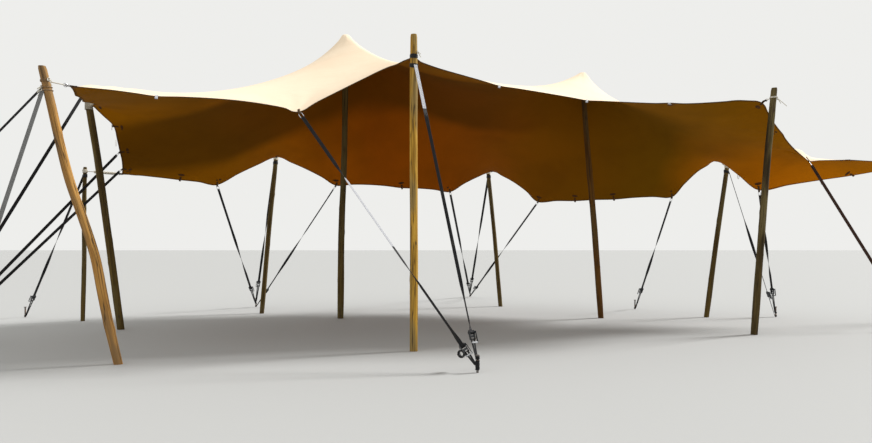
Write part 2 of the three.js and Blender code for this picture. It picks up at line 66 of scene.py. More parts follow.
camera_data = bpy.data.cameras.new("camera")
camera_data.sensor_width = SENSOR_WIDTH
camera_data.lens = FOCAL_PIXELS * SENSOR_WIDTH / PHOTO_WIDTH
camera_data.shift_y = (HORIZON_ROW - PHOTO_HEIGHT / 2) / PHOTO_WIDTH
camera_data.clip_end = 300
camera = bpy.data.objects.new("camera", camera_data)
camera.location = EYE
camera.rotation_euler = (math.radians(90), 0, 0)
bpy.context.scene.collection.objects.link(camera)
bpy.context.scene.camera = camera
print("camera: lens", round(camera_data.lens, 2), "mm, shift", round(camera_data.shift_y, 4))

# %% [markdown]
# ## Shader sums
# A material is easier to read as a sum than as a list of nodes. One small class stands for a socket and
# turns + - * / into Math nodes, in either order. One class holds a material: its node method adds any other
# node, with the settings first and the values or links after them.

# %% Shader sums
class Value:
    """A socket that takes part in sums of numbers"""

    def __init__(self, finish, socket):
        self.finish = finish
        self.socket = socket

    def math(self, operation, first, second=0.0):
        return self.finish.node("ShaderNodeMath", {"operation": operation}, {0: first, 1: second})

    def __add__(self, other):
        return self.math("ADD", self, other)

    def __radd__(self, other):
        return self.math("ADD", other, self)

    def __sub__(self, other):
        return self.math("SUBTRACT", self, other)

    def __rsub__(self, other):
        return self.math("SUBTRACT", other, self)

    def __mul__(self, other):
        return self.math("MULTIPLY", self, other)

    def __rmul__(self, other):
        return self.math("MULTIPLY", other, self)

    def __truediv__(self, other):
        return self.math("DIVIDE", self, other)

    def __rtruediv__(self, other):
        return self.math("DIVIDE", other, self)

    def __abs__(self):
        return self.math("ABSOLUTE", self)

    def least(self, other):
        return self.math("MINIMUM", self, other)

    def wave(self):
        return self.math("SINE", self)

    def below(self, limit, soft):
        """1 where the value is well below the limit, 0 above it, with a soft step between"""
        return self.finish.step(self, limit + soft, limit - soft)


class Finish:
    """One material, built up node by node"""

    def __init__(self, name):
        self.material = bpy.data.materials.new(name)
        self.material.use_nodes = True
        self.tree = self.material.node_tree
        self.surface = self.tree.nodes["Principled BSDF"]

    def node(self, kind, settings=None, inputs=None, output=0):
        made = self.tree.nodes.new(kind)
        for name, setting in (settings or {}).items():
            if name == "stops":
                self.set_stops(made.color_ramp, setting)
            else:
                setattr(made, name, setting)
        for socket, value in (inputs or {}).items():
            self.feed(made.inputs[socket], value)
        return Value(self, made.outputs[output])

    def set_stops(self, ramp, stops):
        while len(ramp.elements) < len(stops):
            ramp.elements.new(1.0)
        for element, (place, colour) in zip(ramp.elements, stops):
            element.position = place
            element.color = (*colour, 1.0)

    def feed(self, socket, value):
        if isinstance(value, Value):
            self.tree.links.new(value.socket, socket)
        elif socket.type == "RGBA":
            socket.default_value = (*value, 1.0)
        else:
            socket.default_value = value

    def step(self, value, low, high):
        settings = {"interpolation_type": "SMOOTHSTEP"}
        return self.node("ShaderNodeMapRange", settings, {"Value": value, "From Min": low, "From Max": high})

    def ramp(self, value, stops):
        return self.node("ShaderNodeValToRGB", {"stops": stops}, {0: value})

    def mix(self, mask, low, high):
        return self.node("ShaderNodeMix", {"data_type": "RGBA"}, {0: mask, 6: low, 7: high}, output=2)

    def place(self):
        return self.node("ShaderNodeTexCoord", output=3)

    def run(self):
        return self.node("ShaderNodeAttribute", {"attribute_name": "run"}, output=1)

    def parts(self, vector):
        split = self.node("ShaderNodeSeparateXYZ", inputs={0: vector})
        return [Value(self, socket) for socket in split.socket.node.outputs]

    def stretched(self, vector, scale):
        return self.node("ShaderNodeVectorMath", {"operation": "MULTIPLY"}, {0: vector, 1: scale})

    def noise(self, vector, scale, detail=3.0, roughness=0.5):
        inputs = {"Vector": vector, "Scale": scale, "Detail": detail, "Roughness": roughness}
        return self.node("ShaderNodeTexNoise", inputs=inputs)

    def relief(self, height, depth):
        bump = self.node("ShaderNodeBump", inputs={"Strength": 1.0, "Distance": depth, "Height": height})
        self.feed(self.surface.inputs["Normal"], bump)

    def set(self, gloss=None, **values):
        if gloss is not None:
            self.surface.inputs["Specular IOR Level"].default_value = gloss
        for name, value in values.items():
            self.feed(self.surface.inputs[name.replace("_", " ").title()], value)
        return self.material

# %% [markdown]
# ## Swept shapes
# Nearly everything here is an outline swept along a path: a rope is a circle on a helix, a strap is a flat
# rounded bar on a line. So one function sweeps, and the others only choose an outline and a path. Each point
# also carries its run, which is its place on the straight, unbent stuff, so a grain or a weave follows every
# bend.

# %% Swept shapes
ROUND_SIDES = 8
UP = np.array([0.0, 0.0, 1.0])


def unit(vectors):
    vectors = np.asarray(vectors, float)
    return vectors / np.linalg.norm(vectors, axis=-1, keepdims=True)


def levelled(vector):
    """The level direction in which a vector points"""
    return unit(vector * (1 - UP))


def around(count):
    """Angles spaced evenly round a circle"""
    return np.arange(count) * 2 * math.pi / count


def line_points(start, end, steps):
    """Points spaced evenly on a straight line"""
    return start + (end - start) * np.linspace(0, 1, steps)[:, None]


def tube_faces(rings, sides, closed=False):
    """The faces of a row of rings of points, with its two ends shut unless it closes on itself"""
    faces = []
    for ring in range(rings if closed else rings - 1):
        here, there = ring * sides, (ring + 1) % rings * sides
        for k in range(sides):
            after = (k + 1) % sides
            faces.append((here + k, here + after, there + after, there + k))
    if not closed:
        faces.append(tuple(range(sides - 1, -1, -1)))
        faces.append(tuple(range((rings - 1) * sides, rings * sides)))
    return faces


def sweep(centres, sideways, upward, outline, closed=False):
    """An outline carried along a line of centres: points, faces and each point's run"""
    centres = np.asarray(centres, float)
    outline = np.asarray(outline, float)
    count, sides = len(centres), len(outline)
    across = outline[:, :1] * np.broadcast_to(sideways, centres.shape)[:, None]
    above = outline[:, 1:] * np.broadcast_to(upward, centres.shape)[:, None]
    points = (centres[:, None] + across + above).reshape(-1, 3)
    steps = np.linalg.norm(np.diff(centres, axis=0), axis=1)
    along = np.concatenate([[0], np.cumsum(steps)])
    run = np.column_stack([np.repeat(along, sides), np.tile(outline, (count, 1))])
    return points, tube_faces(count, sides, closed), run


def round_outline(radius, sides=ROUND_SIDES):
    angles = around(sides)
    return np.stack([radius * np.cos(angles), radius * np.sin(angles)], 1)


def flat_outline(width, thickness):
    """A strap's section, with its two edges rounded off"""
    half, rise, corner = width / 2, thickness / 2, thickness * 0.35
    return np.array([
        (half, -rise + corner), (half, rise - corner), (half - corner, rise), (corner - half, rise),
        (-half, rise - corner), (-half, corner - rise), (corner - half, -rise), (half - corner, -rise),
    ])


def tube(centres, radius, hint):
    """A round rope along a path, with its section kept square to the hint"""
    along = unit(np.gradient(np.asarray(centres, float), axis=0))
    sideways = unit(np.cross(hint, along))
    return sweep(centres, sideways, np.cross(along, sideways), round_outline(radius))


def ring(centre, first, second, axis, radius, steps=24):
    """A closed ring of rope or wire: an ellipse with two half axes, and the axis that it lies round"""
    turn = around(steps)[:, None]
    loop = centre + np.cos(turn) * first + np.sin(turn) * second
    return sweep(loop, unit(loop - centre), axis, round_outline(radius), closed=True)

# %% [markdown]
# ## A piece
# A piece is one mesh that gathers many shapes, each with its finish. Its last method makes the mesh and says
# at once which body of the frame it rides on, which material slot it fills and which plain solids it stands
# for. Blunt edges are shaded smooth, and sharp ones stay crisp.

# %% A piece
SHARP_ANGLE = math.radians(40)


class Piece:
    """Shapes gathered into one mesh, with a finish for each shape"""

    def __init__(self):
        self.points = []
        self.faces = []
        self.run = []
        self.finishes = []
        self.face_finish = []
        self.count = 0

    def add(self, shape, finish, place=None):
        points, faces, run = shape
        if place is not None:
            matrix = np.array(place)
            points = points @ matrix[:3, :3].T + matrix[:3, 3]
        if finish not in self.finishes:
            self.finishes.append(finish)
        self.points.append(points)
        self.run.append(run)
        self.faces.extend(tuple(corner + self.count for corner in face) for face in faces)
        self.face_finish.extend([self.finishes.index(finish)] * len(faces))
        self.count += len(points)

    def repaint(self, start, end, finish):
        """Another finish for the faces from one number up to another"""
        if finish not in self.finishes:
            self.finishes.append(finish)
        self.face_finish[start:end] = [self.finishes.index(finish)] * (end - start)

    def make(self, name, body="tent", replaces=(), bevel=0.0):
        mesh = bpy.data.meshes.new(name)
        mesh.from_pydata(np.concatenate(self.points).tolist(), [], self.faces)
        for finish in self.finishes:
            mesh.materials.append(finish)
        mesh.polygons.foreach_set("material_index", self.face_finish)
        attribute = mesh.attributes.new("run", "FLOAT_VECTOR", "POINT")
        attribute.data.foreach_set("vector", np.concatenate(self.run).astype(np.float32).ravel())
        mesh.polygons.foreach_set("use_smooth", [True] * len(mesh.polygons))
        mesh.set_sharp_from_angle(angle=SHARP_ANGLE)
        mesh.update()
        piece = bpy.data.objects.new(name, mesh)
        bpy.context.scene.collection.objects.link(piece)
        if bevel:
            edge = piece.modifiers.new("worn_edge", "BEVEL")
            edge.width = bevel
            edge.segments = 2
            edge.limit_method = "ANGLE"
        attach(piece, body)
        if replaces:
            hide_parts(*replaces)
        return piece

# %% [markdown]
# ## Wood
# The poles are peeled trunks: golden where the wood is fresh, brown where bark and dirt are left, grey
# where it has weathered. Noises stretched along the trunk do this: a fine one for the grain, a broad one for
# the grey patches, and the thin zero line of a third for the drying cracks.

# %% Wood finish
CRACK_TONE = (0.05, 0.032, 0.02)
FOOT_TONE = (0.09, 0.06, 0.035)
DARK_FOOT_HEIGHT = 0.16


def wood_finish(name, fresh, deep, grey):
    wood = Finish(name)
    run = wood.run()
    grain = wood.noise(wood.stretched(run, (55, 55, 2.2)), 1.0, 6.0, 0.65)
    streak = wood.noise(wood.stretched(run, (16, 16, 0.9)), 1.0, 4.0)
    weather = wood.noise(wood.stretched(run, (5, 5, 1.1)), 1.0, 3.0)
    split = wood.noise(wood.stretched(run, (22, 22, 0.7)), 1.0, 2.0)
    crack = abs(split - 0.5).below(0.012, 0.008)
    colour = wood.mix(wood.step(grain + streak, 0.75, 1.25), fresh, deep)
    colour = wood.mix(wood.step(weather, 0.46, 0.66), colour, grey)
    colour = wood.mix(crack * 0.85, colour, CRACK_TONE)
    height = wood.parts(run)[2]
    # The wood is darker towards its foot.
    darkening = (height + weather * 0.2).below(DARK_FOOT_HEIGHT, DARK_FOOT_HEIGHT / 2)
    colour = wood.mix(darkening * 0.6, colour, FOOT_TONE)
    wood.relief(grain * 0.6 + streak * 0.5 - crack * 1.4, 0.003)
    return wood.set(base_color=colour, roughness=0.66 + grain * 0.3, gloss=0.12)


golden_wood = wood_finish("golden_wood", (0.60, 0.35, 0.055), (0.30, 0.155, 0.02), (0.27, 0.18, 0.06))
amber_wood = wood_finish("amber_wood", (0.50, 0.27, 0.075), (0.22, 0.10, 0.025), (0.22, 0.13, 0.055))
# The shaded brown and shaded red finishes are darker copies of the wood: their tone is the wood's own, and
# their darkness is painted shade.
shaded_brown_wood = wood_finish("shaded_brown_wood", (0.13, 0.085, 0.022), (0.05, 0.032, 0.009), (0.11, 0.082, 0.03))
shaded_red_wood = wood_finish("shaded_red_wood", (0.15, 0.066, 0.010), (0.065, 0.026, 0.005), (0.11, 0.065, 0.02))
grey_wood = wood_finish("grey_wood", (0.10, 0.068, 0.022), (0.03, 0.02, 0.008), (0.13, 0.10, 0.04))
cut_wood = wood_finish("cut_wood", (0.52, 0.36, 0.18), (0.33, 0.2, 0.09), (0.36, 0.29, 0.2))
print("wood: six finishes")

# %% [markdown]
# ## Cloth
# The fabric is one sand coloured sheet. Daylight from above makes its top side nearly cream. Its underside is
# the same cloth in shade, painted a deep amber brown, and how much sun comes through is painted into that
# colour too: the front is olive, the back is redder, a painted dark shade runs across the left half behind
# the ridge, and the sunny right end is a painted orange glow. A darker band along the edge paints the hem's
# shade.
# So the two sides get two finishes. The knit is too fine to model: it is a small bump. The hem's two stitch
# rows follow the distance from the edge.

# %% Cloth finishes
HEM_BAND = 0.03
STITCH_ROWS = (0.008, 0.026)
STITCH_HALF = 0.0016
STITCHES_A_METRE = 67
KNIT_RATE = (900, 900, 1)
TOP_TONES = ((0.83, 0.68, 0.50), (0.77, 0.61, 0.43), (0.82, 0.64, 0.46))
TOP_THREAD = (0.42, 0.31, 0.17)
UNDER_THREAD = (0.3, 0.2, 0.1)
HEM_SHADE_TONE = (0.04, 0.018, 0.002)
UNDER_LEFT = -7.0
UNDER_RIGHT = 8.0
# These tones paint light on the underside: how much sun glows through the cloth along x, with a painted
# orange glow at the sunny right end and painted shade in the middle.
UNDER_TONES = [
    (0.0, (0.38, 0.137, 0.001)), (0.1, (0.33, 0.115, 0.001)), (0.19, (0.38, 0.108, 0.001)),
    (0.3, (0.38, 0.085, 0.001)), (0.42, (0.28, 0.07, 0.001)), (0.5, (0.225, 0.074, 0.001)),
    (0.66, (0.155, 0.066, 0.001)), (0.78, (0.53, 0.155, 0.001)), (1.0, (0.53, 0.175, 0.001)),
]
# FRONT_TONE paints the olive light at the front, and SHADE_TONE paints the shade behind the ridge.
FRONT_TONE = (0.27, 0.105, 0.001)
SHADE_TONE = (0.075, 0.030, 0.001)
BACK_SKEW = 0.14
FRONT_LIMIT = (-0.5, 0.7)
SHADE_TIP = -6.84
SHADE_MIDDLE = (0.14, 0.06, 0.35)
SHADE_HALF = (0.42, 0.27, 1.15)
SHADE_SOFT = 0.18
SHADE_END = (0.5, 2.0)


def stitch_rows(cloth, across, deep, edge):
    """1 on the thread of the hem's stitches, 0 elsewhere"""
    dash = cloth.step(((across + deep) * (2 * math.pi * STITCHES_A_METRE)).wave(), -0.3, 0.1)
    rows = [abs(edge - row).below(STITCH_HALF, STITCH_HALF / 2) for row in STITCH_ROWS]
    return (rows[0] + rows[1]) * dash


def cloth_relief(cloth, knit_height, crease_height, stitch):
    knit = cloth.noise(cloth.stretched(cloth.run(), KNIT_RATE), 1.0, 1.0)
    crease = cloth.noise(cloth.stretched(cloth.place(), (5, 9, 7)), 1.0, 3.0)
    cloth.relief(knit * knit_height + crease * crease_height - stitch * 0.5, 0.004)


def top_finish():
    cloth = Finish("cloth_top")
    place = cloth.place()
    across, deep, edge = cloth.parts(cloth.run())
    mottle = cloth.noise(place, 0.7, 4.0, 0.55)
    cloud = cloth.noise(cloth.stretched(place, (0.35, 0.5, 0.6)), 1.0, 2.0)
    light, dark, warm = TOP_TONES
    colour = cloth.mix(cloth.step(mottle, 0.3, 0.7), light, dark)
    colour = cloth.mix(cloth.step(cloud, 0.5, 0.72), colour, warm)
    stitch = stitch_rows(cloth, across, deep, edge)
    colour = cloth.mix(stitch * 0.6, colour, TOP_THREAD)
    cloth_relief(cloth, 0.12, 1.1, stitch)
    return cloth.set(base_color=colour, roughness=0.74 + mottle * 0.16)


def wedge_shade(cloth, x, y):
    """1 in the dark shade that starts as a point at the left edge, widens to the right and fades out there"""
    from_tip = x - SHADE_TIP
    lines = (SHADE_MIDDLE, SHADE_HALF)
    middle, half = [(from_tip * slope + first).least(most) for first, slope, most in lines]
    return (abs(y - middle) - half).below(0.0, SHADE_SOFT) * x.below(*SHADE_END)


def under_finish():
    cloth = Finish("cloth_under")
    place = cloth.place()
    across, deep, edge = cloth.parts(cloth.run())
    x, y, _ = cloth.parts(place)
    drift = cloth.noise(cloth.stretched(place, (0.25, 0.4, 0.5)), 1.0, 2.0)
    mottle = cloth.noise(place, 0.9, 4.0, 0.55)
    share = (x - UNDER_LEFT) / (UNDER_RIGHT - UNDER_LEFT) + (drift - 0.5) * 0.16
    # The underside's colour is painted light and shade: the glow along x, the olive front, the wedge of shade
    # and the hem's shade.
    colour = cloth.ramp(share, UNDER_TONES)
    back = y - x * BACK_SKEW + (drift - 0.5) * 0.8
    colour = cloth.mix(back.below(*FRONT_LIMIT) * 0.8, colour, FRONT_TONE)
    colour = cloth.mix(wedge_shade(cloth, x, y + (drift - 0.5) * 0.6) * 0.68, colour, SHADE_TONE)
    colour = cloth.mix(cloth.step(mottle, 0.35, 0.75) * 0.3, colour, SHADE_TONE)
    # A darker band along the underside's edge is painted shade: the shade of the turned hem.
    colour = cloth.mix(edge.below(HEM_BAND, 0.004) * 0.55, colour, HEM_SHADE_TONE)
    stitch = stitch_rows(cloth, across, deep, edge)
    colour = cloth.mix(stitch * 0.5, colour, UNDER_THREAD)
    cloth_relief(cloth, 0.12, 0.9, stitch)
    return cloth.set(base_color=colour, roughness=0.8 + mottle * 0.12, gloss=0.03)


def plain_cloth_finish(name, light, dark):
    cloth = Finish(name)
    mottle = cloth.noise(cloth.place(), 6.0, 4.0, 0.55)
    colour = cloth.mix(cloth.step(mottle, 0.3, 0.7), light, dark)
    cloth.relief(cloth.noise(cloth.place(), 420.0, 2.0), 0.0008)
    return cloth.set(base_color=colour, roughness=0.78 + mottle * 0.1, gloss=0.2)


cloth_top = top_finish()
cloth_under = under_finish()
# On the sheet's rim this dark brown paints the shade along the hem's edge; on the tabs it is their own
# colour.
cloth_hem = plain_cloth_finish("cloth_hem", (0.06, 0.03, 0.009), (0.04, 0.02, 0.006))
patch_cloth = plain_cloth_finish("patch_cloth", (0.075, 0.026, 0.004), (0.045, 0.016, 0.003))
print("cloth: four finishes")

# %% [markdown]
# ## Webbing, rope and steel
# A polyester strap shows rows of thick yarn and two plain edges. Most straps are black, and where a rigger
# took another colour it is grey or brown. Where the sun glints on a black strap, that stretch is painted
# pale: a painted highlight. Pale is also the real colour of the front hem's free loops. A laid rope's strands
# run at a slant round it, which a sine of its length and of its angle gives. The steel is galvanised and
# dull, with rust in patches.

# %% Webbing, rope and steel finishes
WEFT_RATE = 2600.0
RIB_RATE = 1500.0
LAY_RATE = 260.0
STRANDS = 3.0
DUST_TONE = (0.09, 0.08, 0.065)
ROPE_DIRT_TONE = (0.33, 0.27, 0.18)
RUST_TONE = (0.20, 0.085, 0.035)


def webbing_finish(name, yarn, gap):
    webbing = Finish(name)
    along, across, _ = webbing.parts(webbing.run())
    weft = (along * WEFT_RATE).wave()
    rib = (across * RIB_RATE).wave()
    dust = webbing.noise(webbing.place(), 6.0, 4.0)
    colour = webbing.mix(webbing.step(weft * rib, -0.2, 0.7), gap, yarn)
    colour = webbing.mix(webbing.step(dust, 0.55, 0.85) * 0.35, colour, DUST_TONE)
    webbing.relief(weft * 0.3 + rib * 0.4, 0.0006)
    return webbing.set(base_color=colour, roughness=0.45 + dust * 0.2, gloss=0.2)


def rope_finish(name, strand, groove):
    rope = Finish(name)
    along, across, above = rope.parts(rope.run())
    angle = rope.node("ShaderNodeMath", {"operation": "ARCTAN2"}, {0: above, 1: across})
    lay = (along * LAY_RATE + angle * STRANDS).wave()
    fibre = rope.noise(rope.stretched(rope.run(), (500, 900, 900)), 1.0, 3.0)
    darkening = rope.noise(rope.place(), 9.0, 3.0)
    colour = rope.mix(rope.step(lay, -0.9, -0.1), groove, strand)
    colour = rope.mix(rope.step(darkening, 0.5, 0.8) * 0.5, colour, ROPE_DIRT_TONE)
    rope.relief(lay + fibre * 0.35, 0.0015)
    return rope.set(base_color=colour, roughness=0.85)


def steel_finish(name, bare, dark, rust_share):
    steel = Finish(name)
    place = steel.place()
    bloom = steel.noise(place, 55.0, 4.0, 0.6)
    patch = steel.noise(place, 22.0, 5.0, 0.65)
    scratch = steel.noise(steel.stretched(place, (60, 60, 700)), 1.0, 2.0)
    rust = steel.step(patch, 0.72 - rust_share, 0.8 - rust_share)
    colour = steel.mix(bloom, bare, dark)
    colour = steel.mix(rust, colour, RUST_TONE)
    steel.relief(scratch * 0.15 + rust * 0.6 + bloom * 0.2, 0.0006)
    return steel.set(base_color=colour, roughness=0.34 + rust * 0.4 + bloom * 0.1, metallic=1 - rust * 0.8)


black_webbing = webbing_finish("black_webbing", (0.016, 0.016, 0.017), (0.005, 0.005, 0.006))
# Pale yarn: the real colour of the free loops, and a painted highlight where a black strap catches the sun.
pale_and_glint_webbing = webbing_finish("pale_and_glint_webbing", (0.62, 0.63, 0.66), (0.30, 0.30, 0.32))
grey_webbing = webbing_finish("grey_webbing", (0.22, 0.22, 0.21), (0.08, 0.08, 0.08))
brown_webbing = webbing_finish("brown_webbing", (0.060, 0.022, 0.010), (0.025, 0.010, 0.005))
white_rope = rope_finish("white_rope", (0.80, 0.76, 0.66), (0.36, 0.31, 0.23))
tarred_rope = rope_finish("tarred_rope", (0.27, 0.16, 0.07), (0.11, 0.06, 0.025))
soiled_rope = rope_finish("soiled_rope", (0.46, 0.41, 0.32), (0.17, 0.14, 0.10))
dark_steel = steel_finish("dark_steel", (0.10, 0.103, 0.107), (0.038, 0.04, 0.042), 0.06)
ring_steel = steel_finish("ring_steel", (0.62, 0.63, 0.64), (0.42, 0.43, 0.44), 0.0)
stake_steel = steel_finish("stake_steel", (0.22, 0.21, 0.2), (0.12, 0.11, 0.1), 0.22)
print("webbing, rope and steel: ten finishes")

# %% [markdown]
# ## The cloth's own grid
# The frame's canopy is a plain shell with flat facets. Its upper skin is a regular net of squares, each cut
# along the same diagonal. So the net can be read back from the mesh: start at the front left corner, follow
# the two edges, then find each inner point as the one that two known neighbours share.

# %% Read the cloth's grid
SHORTEST_NET_EDGE = 0.02
CAD_CLOTH_THICKNESS = 0.012


def merged(mesh):
    """A mesh's separate points, and its triangles by point number"""
    spots = np.array([vertex.co for vertex in mesh.vertices])
    points, number = np.unique(np.round(spots, 5), axis=0, return_inverse=True)
    mesh.calc_loop_triangles()
    triangles = np.array([triangle.vertices for triangle in mesh.loop_triangles])
    return points, number.ravel()[triangles]


def upper_skin(points, triangles):
    """The triangles of the upper skin: they face up, and none of their edges is the cloth's thickness"""
    corners = points[triangles]
    normal = np.cross(corners[:, 1] - corners[:, 0], corners[:, 2] - corners[:, 0])
    edges = np.linalg.norm(corners - np.roll(corners, 1, axis=1), axis=2)
    return triangles[(normal[:, 2] > 0) & (edges.min(axis=1) > SHORTEST_NET_EDGE)]


def neighbours_of(triangles):
    near = {}
    uses = {}
    for triangle in triangles.tolist():
        for a, b in zip(triangle, triangle[1:] + triangle[:1]):
            near.setdefault(a, set()).add(b)
            near.setdefault(b, set()).add(a)
            pair = (min(a, b), max(a, b))
            uses[pair] = uses.get(pair, 0) + 1
    rim = {}
    for (a, b), count in uses.items():
        if count == 1:
            rim.setdefault(a, set()).add(b)
            rim.setdefault(b, set()).add(a)
    return near, rim


def walk_rim(start, first, near, rim):
    """Follow the rim from a corner until a corner point with two neighbours"""
    path = [start, first]
    while len(near[path[-1]]) > 2:
        path.append((rim[path[-1]] - {path[-2]}).pop())
    return path


def read_grid(node):
    points, triangles = merged(nodes[node].data)
    near, rim = neighbours_of(upper_skin(points, triangles))
    diagonal_corners = [spot for spot in rim if len(near[spot]) == 3]
    start = min(diagonal_corners, key=lambda spot: points[spot][1] + points[spot][0])
    left, front = sorted(rim[start], key=lambda spot: points[spot][0])
    front_row = walk_rim(start, front, near, rim)
    left_row = walk_rim(start, left, near, rim)
    grid = np.zeros((len(front_row), len(left_row)), int)
    grid[:, 0] = front_row
    grid[0, :] = left_row
    for i in range(1, len(front_row)):
        for j in range(1, len(left_row)):
            shared = near[grid[i, j - 1]] & near[grid[i - 1, j]]
            grid[i, j] = (shared - {grid[i - 1, j - 1]}).pop()
    return points[grid]


upper_grid = read_grid("canopy")
CELLS_ACROSS = upper_grid.shape[0] - 1
CELLS_DEEP = upper_grid.shape[1] - 1


def grid_normals(grid):
    return unit(np.cross(np.gradient(grid, axis=0), np.gradient(grid, axis=1)))


cloth_grid = upper_grid - grid_normals(upper_grid) * CAD_CLOTH_THICKNESS / 2
print("cloth net:", CELLS_ACROSS, "by", CELLS_DEEP, "squares")

# %% [markdown]
# ## A smooth surface through the net
# Catmull-Rom splines pass through every point of the net and bend smoothly between them, so the fine cloth
# keeps the frame's shape. The same function answers where any spot of the cloth is, which the patches and
# loops need later.

# %% A smooth surface through the net
PROBE = 0.05


def spline_weights(t):
    first = -t + 2 * t**2 - t**3
    second = 2 - 5 * t**2 + 3 * t**3
    third = t + 4 * t**2 - 3 * t**3
    return np.stack([first, second, third, t**3 - t**2], axis=-1) / 2


def padded_ends(values):
    return np.concatenate([2 * values[:1] - values[1:2], values, 2 * values[-1:] - values[-2:-1]])


padded_grid = padded_ends(padded_ends(cloth_grid).swapaxes(0, 1)).swapaxes(0, 1)


def cloth_at(u, v):
    """The cloth's middle surface at places of its net, which may lie between the net's points"""
    u = np.clip(np.asarray(u, float), 0, CELLS_ACROSS)
    v = np.clip(np.asarray(v, float), 0, CELLS_DEEP)
    i = np.minimum(u.astype(int), CELLS_ACROSS - 1)
    j = np.minimum(v.astype(int), CELLS_DEEP - 1)
    across = spline_weights(u - i)
    deep = spline_weights(v - j)
    spot = np.zeros((*u.shape, 3))
    for a in range(4):
        for b in range(4):
            spot += (across[..., a] * deep[..., b])[..., None] * padded_grid[i + a, j + b]
    return spot


def cloth_slopes(u, v):
    """How far the surface moves for one step of the net, across and deep"""
    u_low, u_high = np.clip(u - PROBE, 0, CELLS_ACROSS), np.clip(u + PROBE, 0, CELLS_ACROSS)
    v_low, v_high = np.clip(v - PROBE, 0, CELLS_DEEP), np.clip(v + PROBE, 0, CELLS_DEEP)
    across = (cloth_at(u_high, v) - cloth_at(u_low, v)) / (u_high - u_low)[..., None]
    deep = (cloth_at(u, v_high) - cloth_at(u, v_low)) / (v_high - v_low)[..., None]
    return across, deep


def cloth_normal(u, v):
    across, deep = cloth_slopes(u, v)
    return unit(np.cross(across, deep))

# %% [markdown]
# ## Where the cloth is held
# Each hold is a point of the net: the corners and low points of the hem, the points that poles lift, and the
# two peaks. Tension folds fan out from each one. They are a sine of the angle round the hold that dies away
# with distance, so they cost no simulation and are the same each run.

# %% Holds and folds
HOLDS = {
    "front_left": (0, 0), "front_low": (12, 0), "front_middle": (19, 0), "front_right": (44, 0),
    "right_slope": (44, 7), "right_low": (44, 15), "rear_right": (44, 24), "right_back_low": (39, 24),
    "back_right": (37, 24), "back_low_right": (33, 24), "back_low_middle_right": (26, 24),
    "back_middle": (22, 24), "back_low_middle_left": (19, 24), "back_low_left": (12, 24),
    "back_left": (8, 24), "left_back_low": (5, 24), "rear_left": (0, 24), "left_corner": (0, 23),
    "left_hem": (0, 20), "left_middle": (0, 16), "left_slope": (0, 8),
}
PEAKS = {"centre_left": (13, 15), "centre_right": (28, 13)}
FOLD_HEIGHT = 0.006
FOLD_REACH = 0.45
FOLD_START = 0.1
FOLD_CLEAR = 0.3
FOLDS_ROUND = 13
FOLD_SPIN = 1.7
PEAK_FOLD_HEIGHT = 0.003


def folds(points, normals):
    """The height of the tension folds over the cloth's middle surface"""
    height = np.zeros(points.shape[:-1])
    crests = [(cell, FOLD_HEIGHT) for cell in HOLDS.values()]
    crests += [(cell, PEAK_FOLD_HEIGHT) for cell in PEAKS.values()]
    for number, (cell, crest) in enumerate(crests):
        normal = normals[cell[0] * FINE, cell[1] * FINE]
        level = unit(np.cross(normal, (0.0, 1.0, 0.3)))
        offset = points - cloth_at(*cell)
        reach = np.linalg.norm(offset, axis=-1)
        angle = np.arctan2(offset @ np.cross(normal, level), offset @ level)
        fade = np.exp(-reach / FOLD_REACH) * np.clip(reach / FOLD_START - FOLD_CLEAR, 0, 1)
        height += crest * fade * np.sin(FOLDS_ROUND * angle + FOLD_SPIN * number)
    return height

# %% [markdown]
# ## The canopy
# The sheet is made as two skins a few millimetres apart, joined by a rim, so it has a top side, an underside
# and an edge with a finish each. The outermost rows are a little thicker: that is the turned hem.

# %% Canopy
CORNER_RADIUS = 0.15
FINE = 6
SKIN_THICKNESS = 0.007
HEM_WIDTH = 0.055
HEM_THICKNESS = 0.011


def hem_distance(points):
    """How far each point of the fine net is from the edge, along the net"""
    rows = np.linalg.norm(np.diff(points, axis=0), axis=-1)
    columns = np.linalg.norm(np.diff(points, axis=1), axis=-1)
    from_left = np.pad(np.cumsum(rows, axis=0), ((1, 0), (0, 0)))
    from_front = np.pad(np.cumsum(columns, axis=1), ((0, 0), (1, 0)))
    ways = [from_left, from_left[-1:] - from_left, from_front, from_front[:, -1:] - from_front]
    return np.min(ways, axis=0), from_left, from_front


def rim_ring(rows, columns):
    """The edge points of a net in order, against the clock seen from above"""
    front = [(i, 0) for i in range(rows - 1)]
    right = [(rows - 1, j) for j in range(columns - 1)]
    back = [(i, columns - 1) for i in range(rows - 1, 0, -1)]
    left = [(0, j) for j in range(columns - 1, 0, -1)]
    return front + right + back + left


def net_faces(rows, columns, first, flip):
    faces = []
    for i in range(rows - 1):
        for j in range(columns - 1):
            corner = first + i * columns + j
            face = (corner, corner + columns, corner + columns + 1, corner + 1)
            faces.append(face[::-1] if flip else face)
    return faces


def round_front_right(u, v):
    """Places of the net with its front right corner drawn in to an arc: squares round it become circles"""
    steps = np.linalg.norm(cloth_slopes(CELLS_ACROSS, 0), axis=1)
    from_edges = np.stack([CELLS_ACROSS - u, v], axis=-1) * steps
    inward = np.clip(CORNER_RADIUS - from_edges, 0, None)
    length = np.maximum(np.linalg.norm(inward, axis=-1), 1e-9)
    shrink = (inward.max(axis=-1) / length)[..., None]
    near = (inward > 0).all(axis=-1)[..., None]
    from_edges = np.where(near, CORNER_RADIUS - inward * shrink, from_edges) / steps
    return CELLS_ACROSS - from_edges[..., 0], from_edges[..., 1]


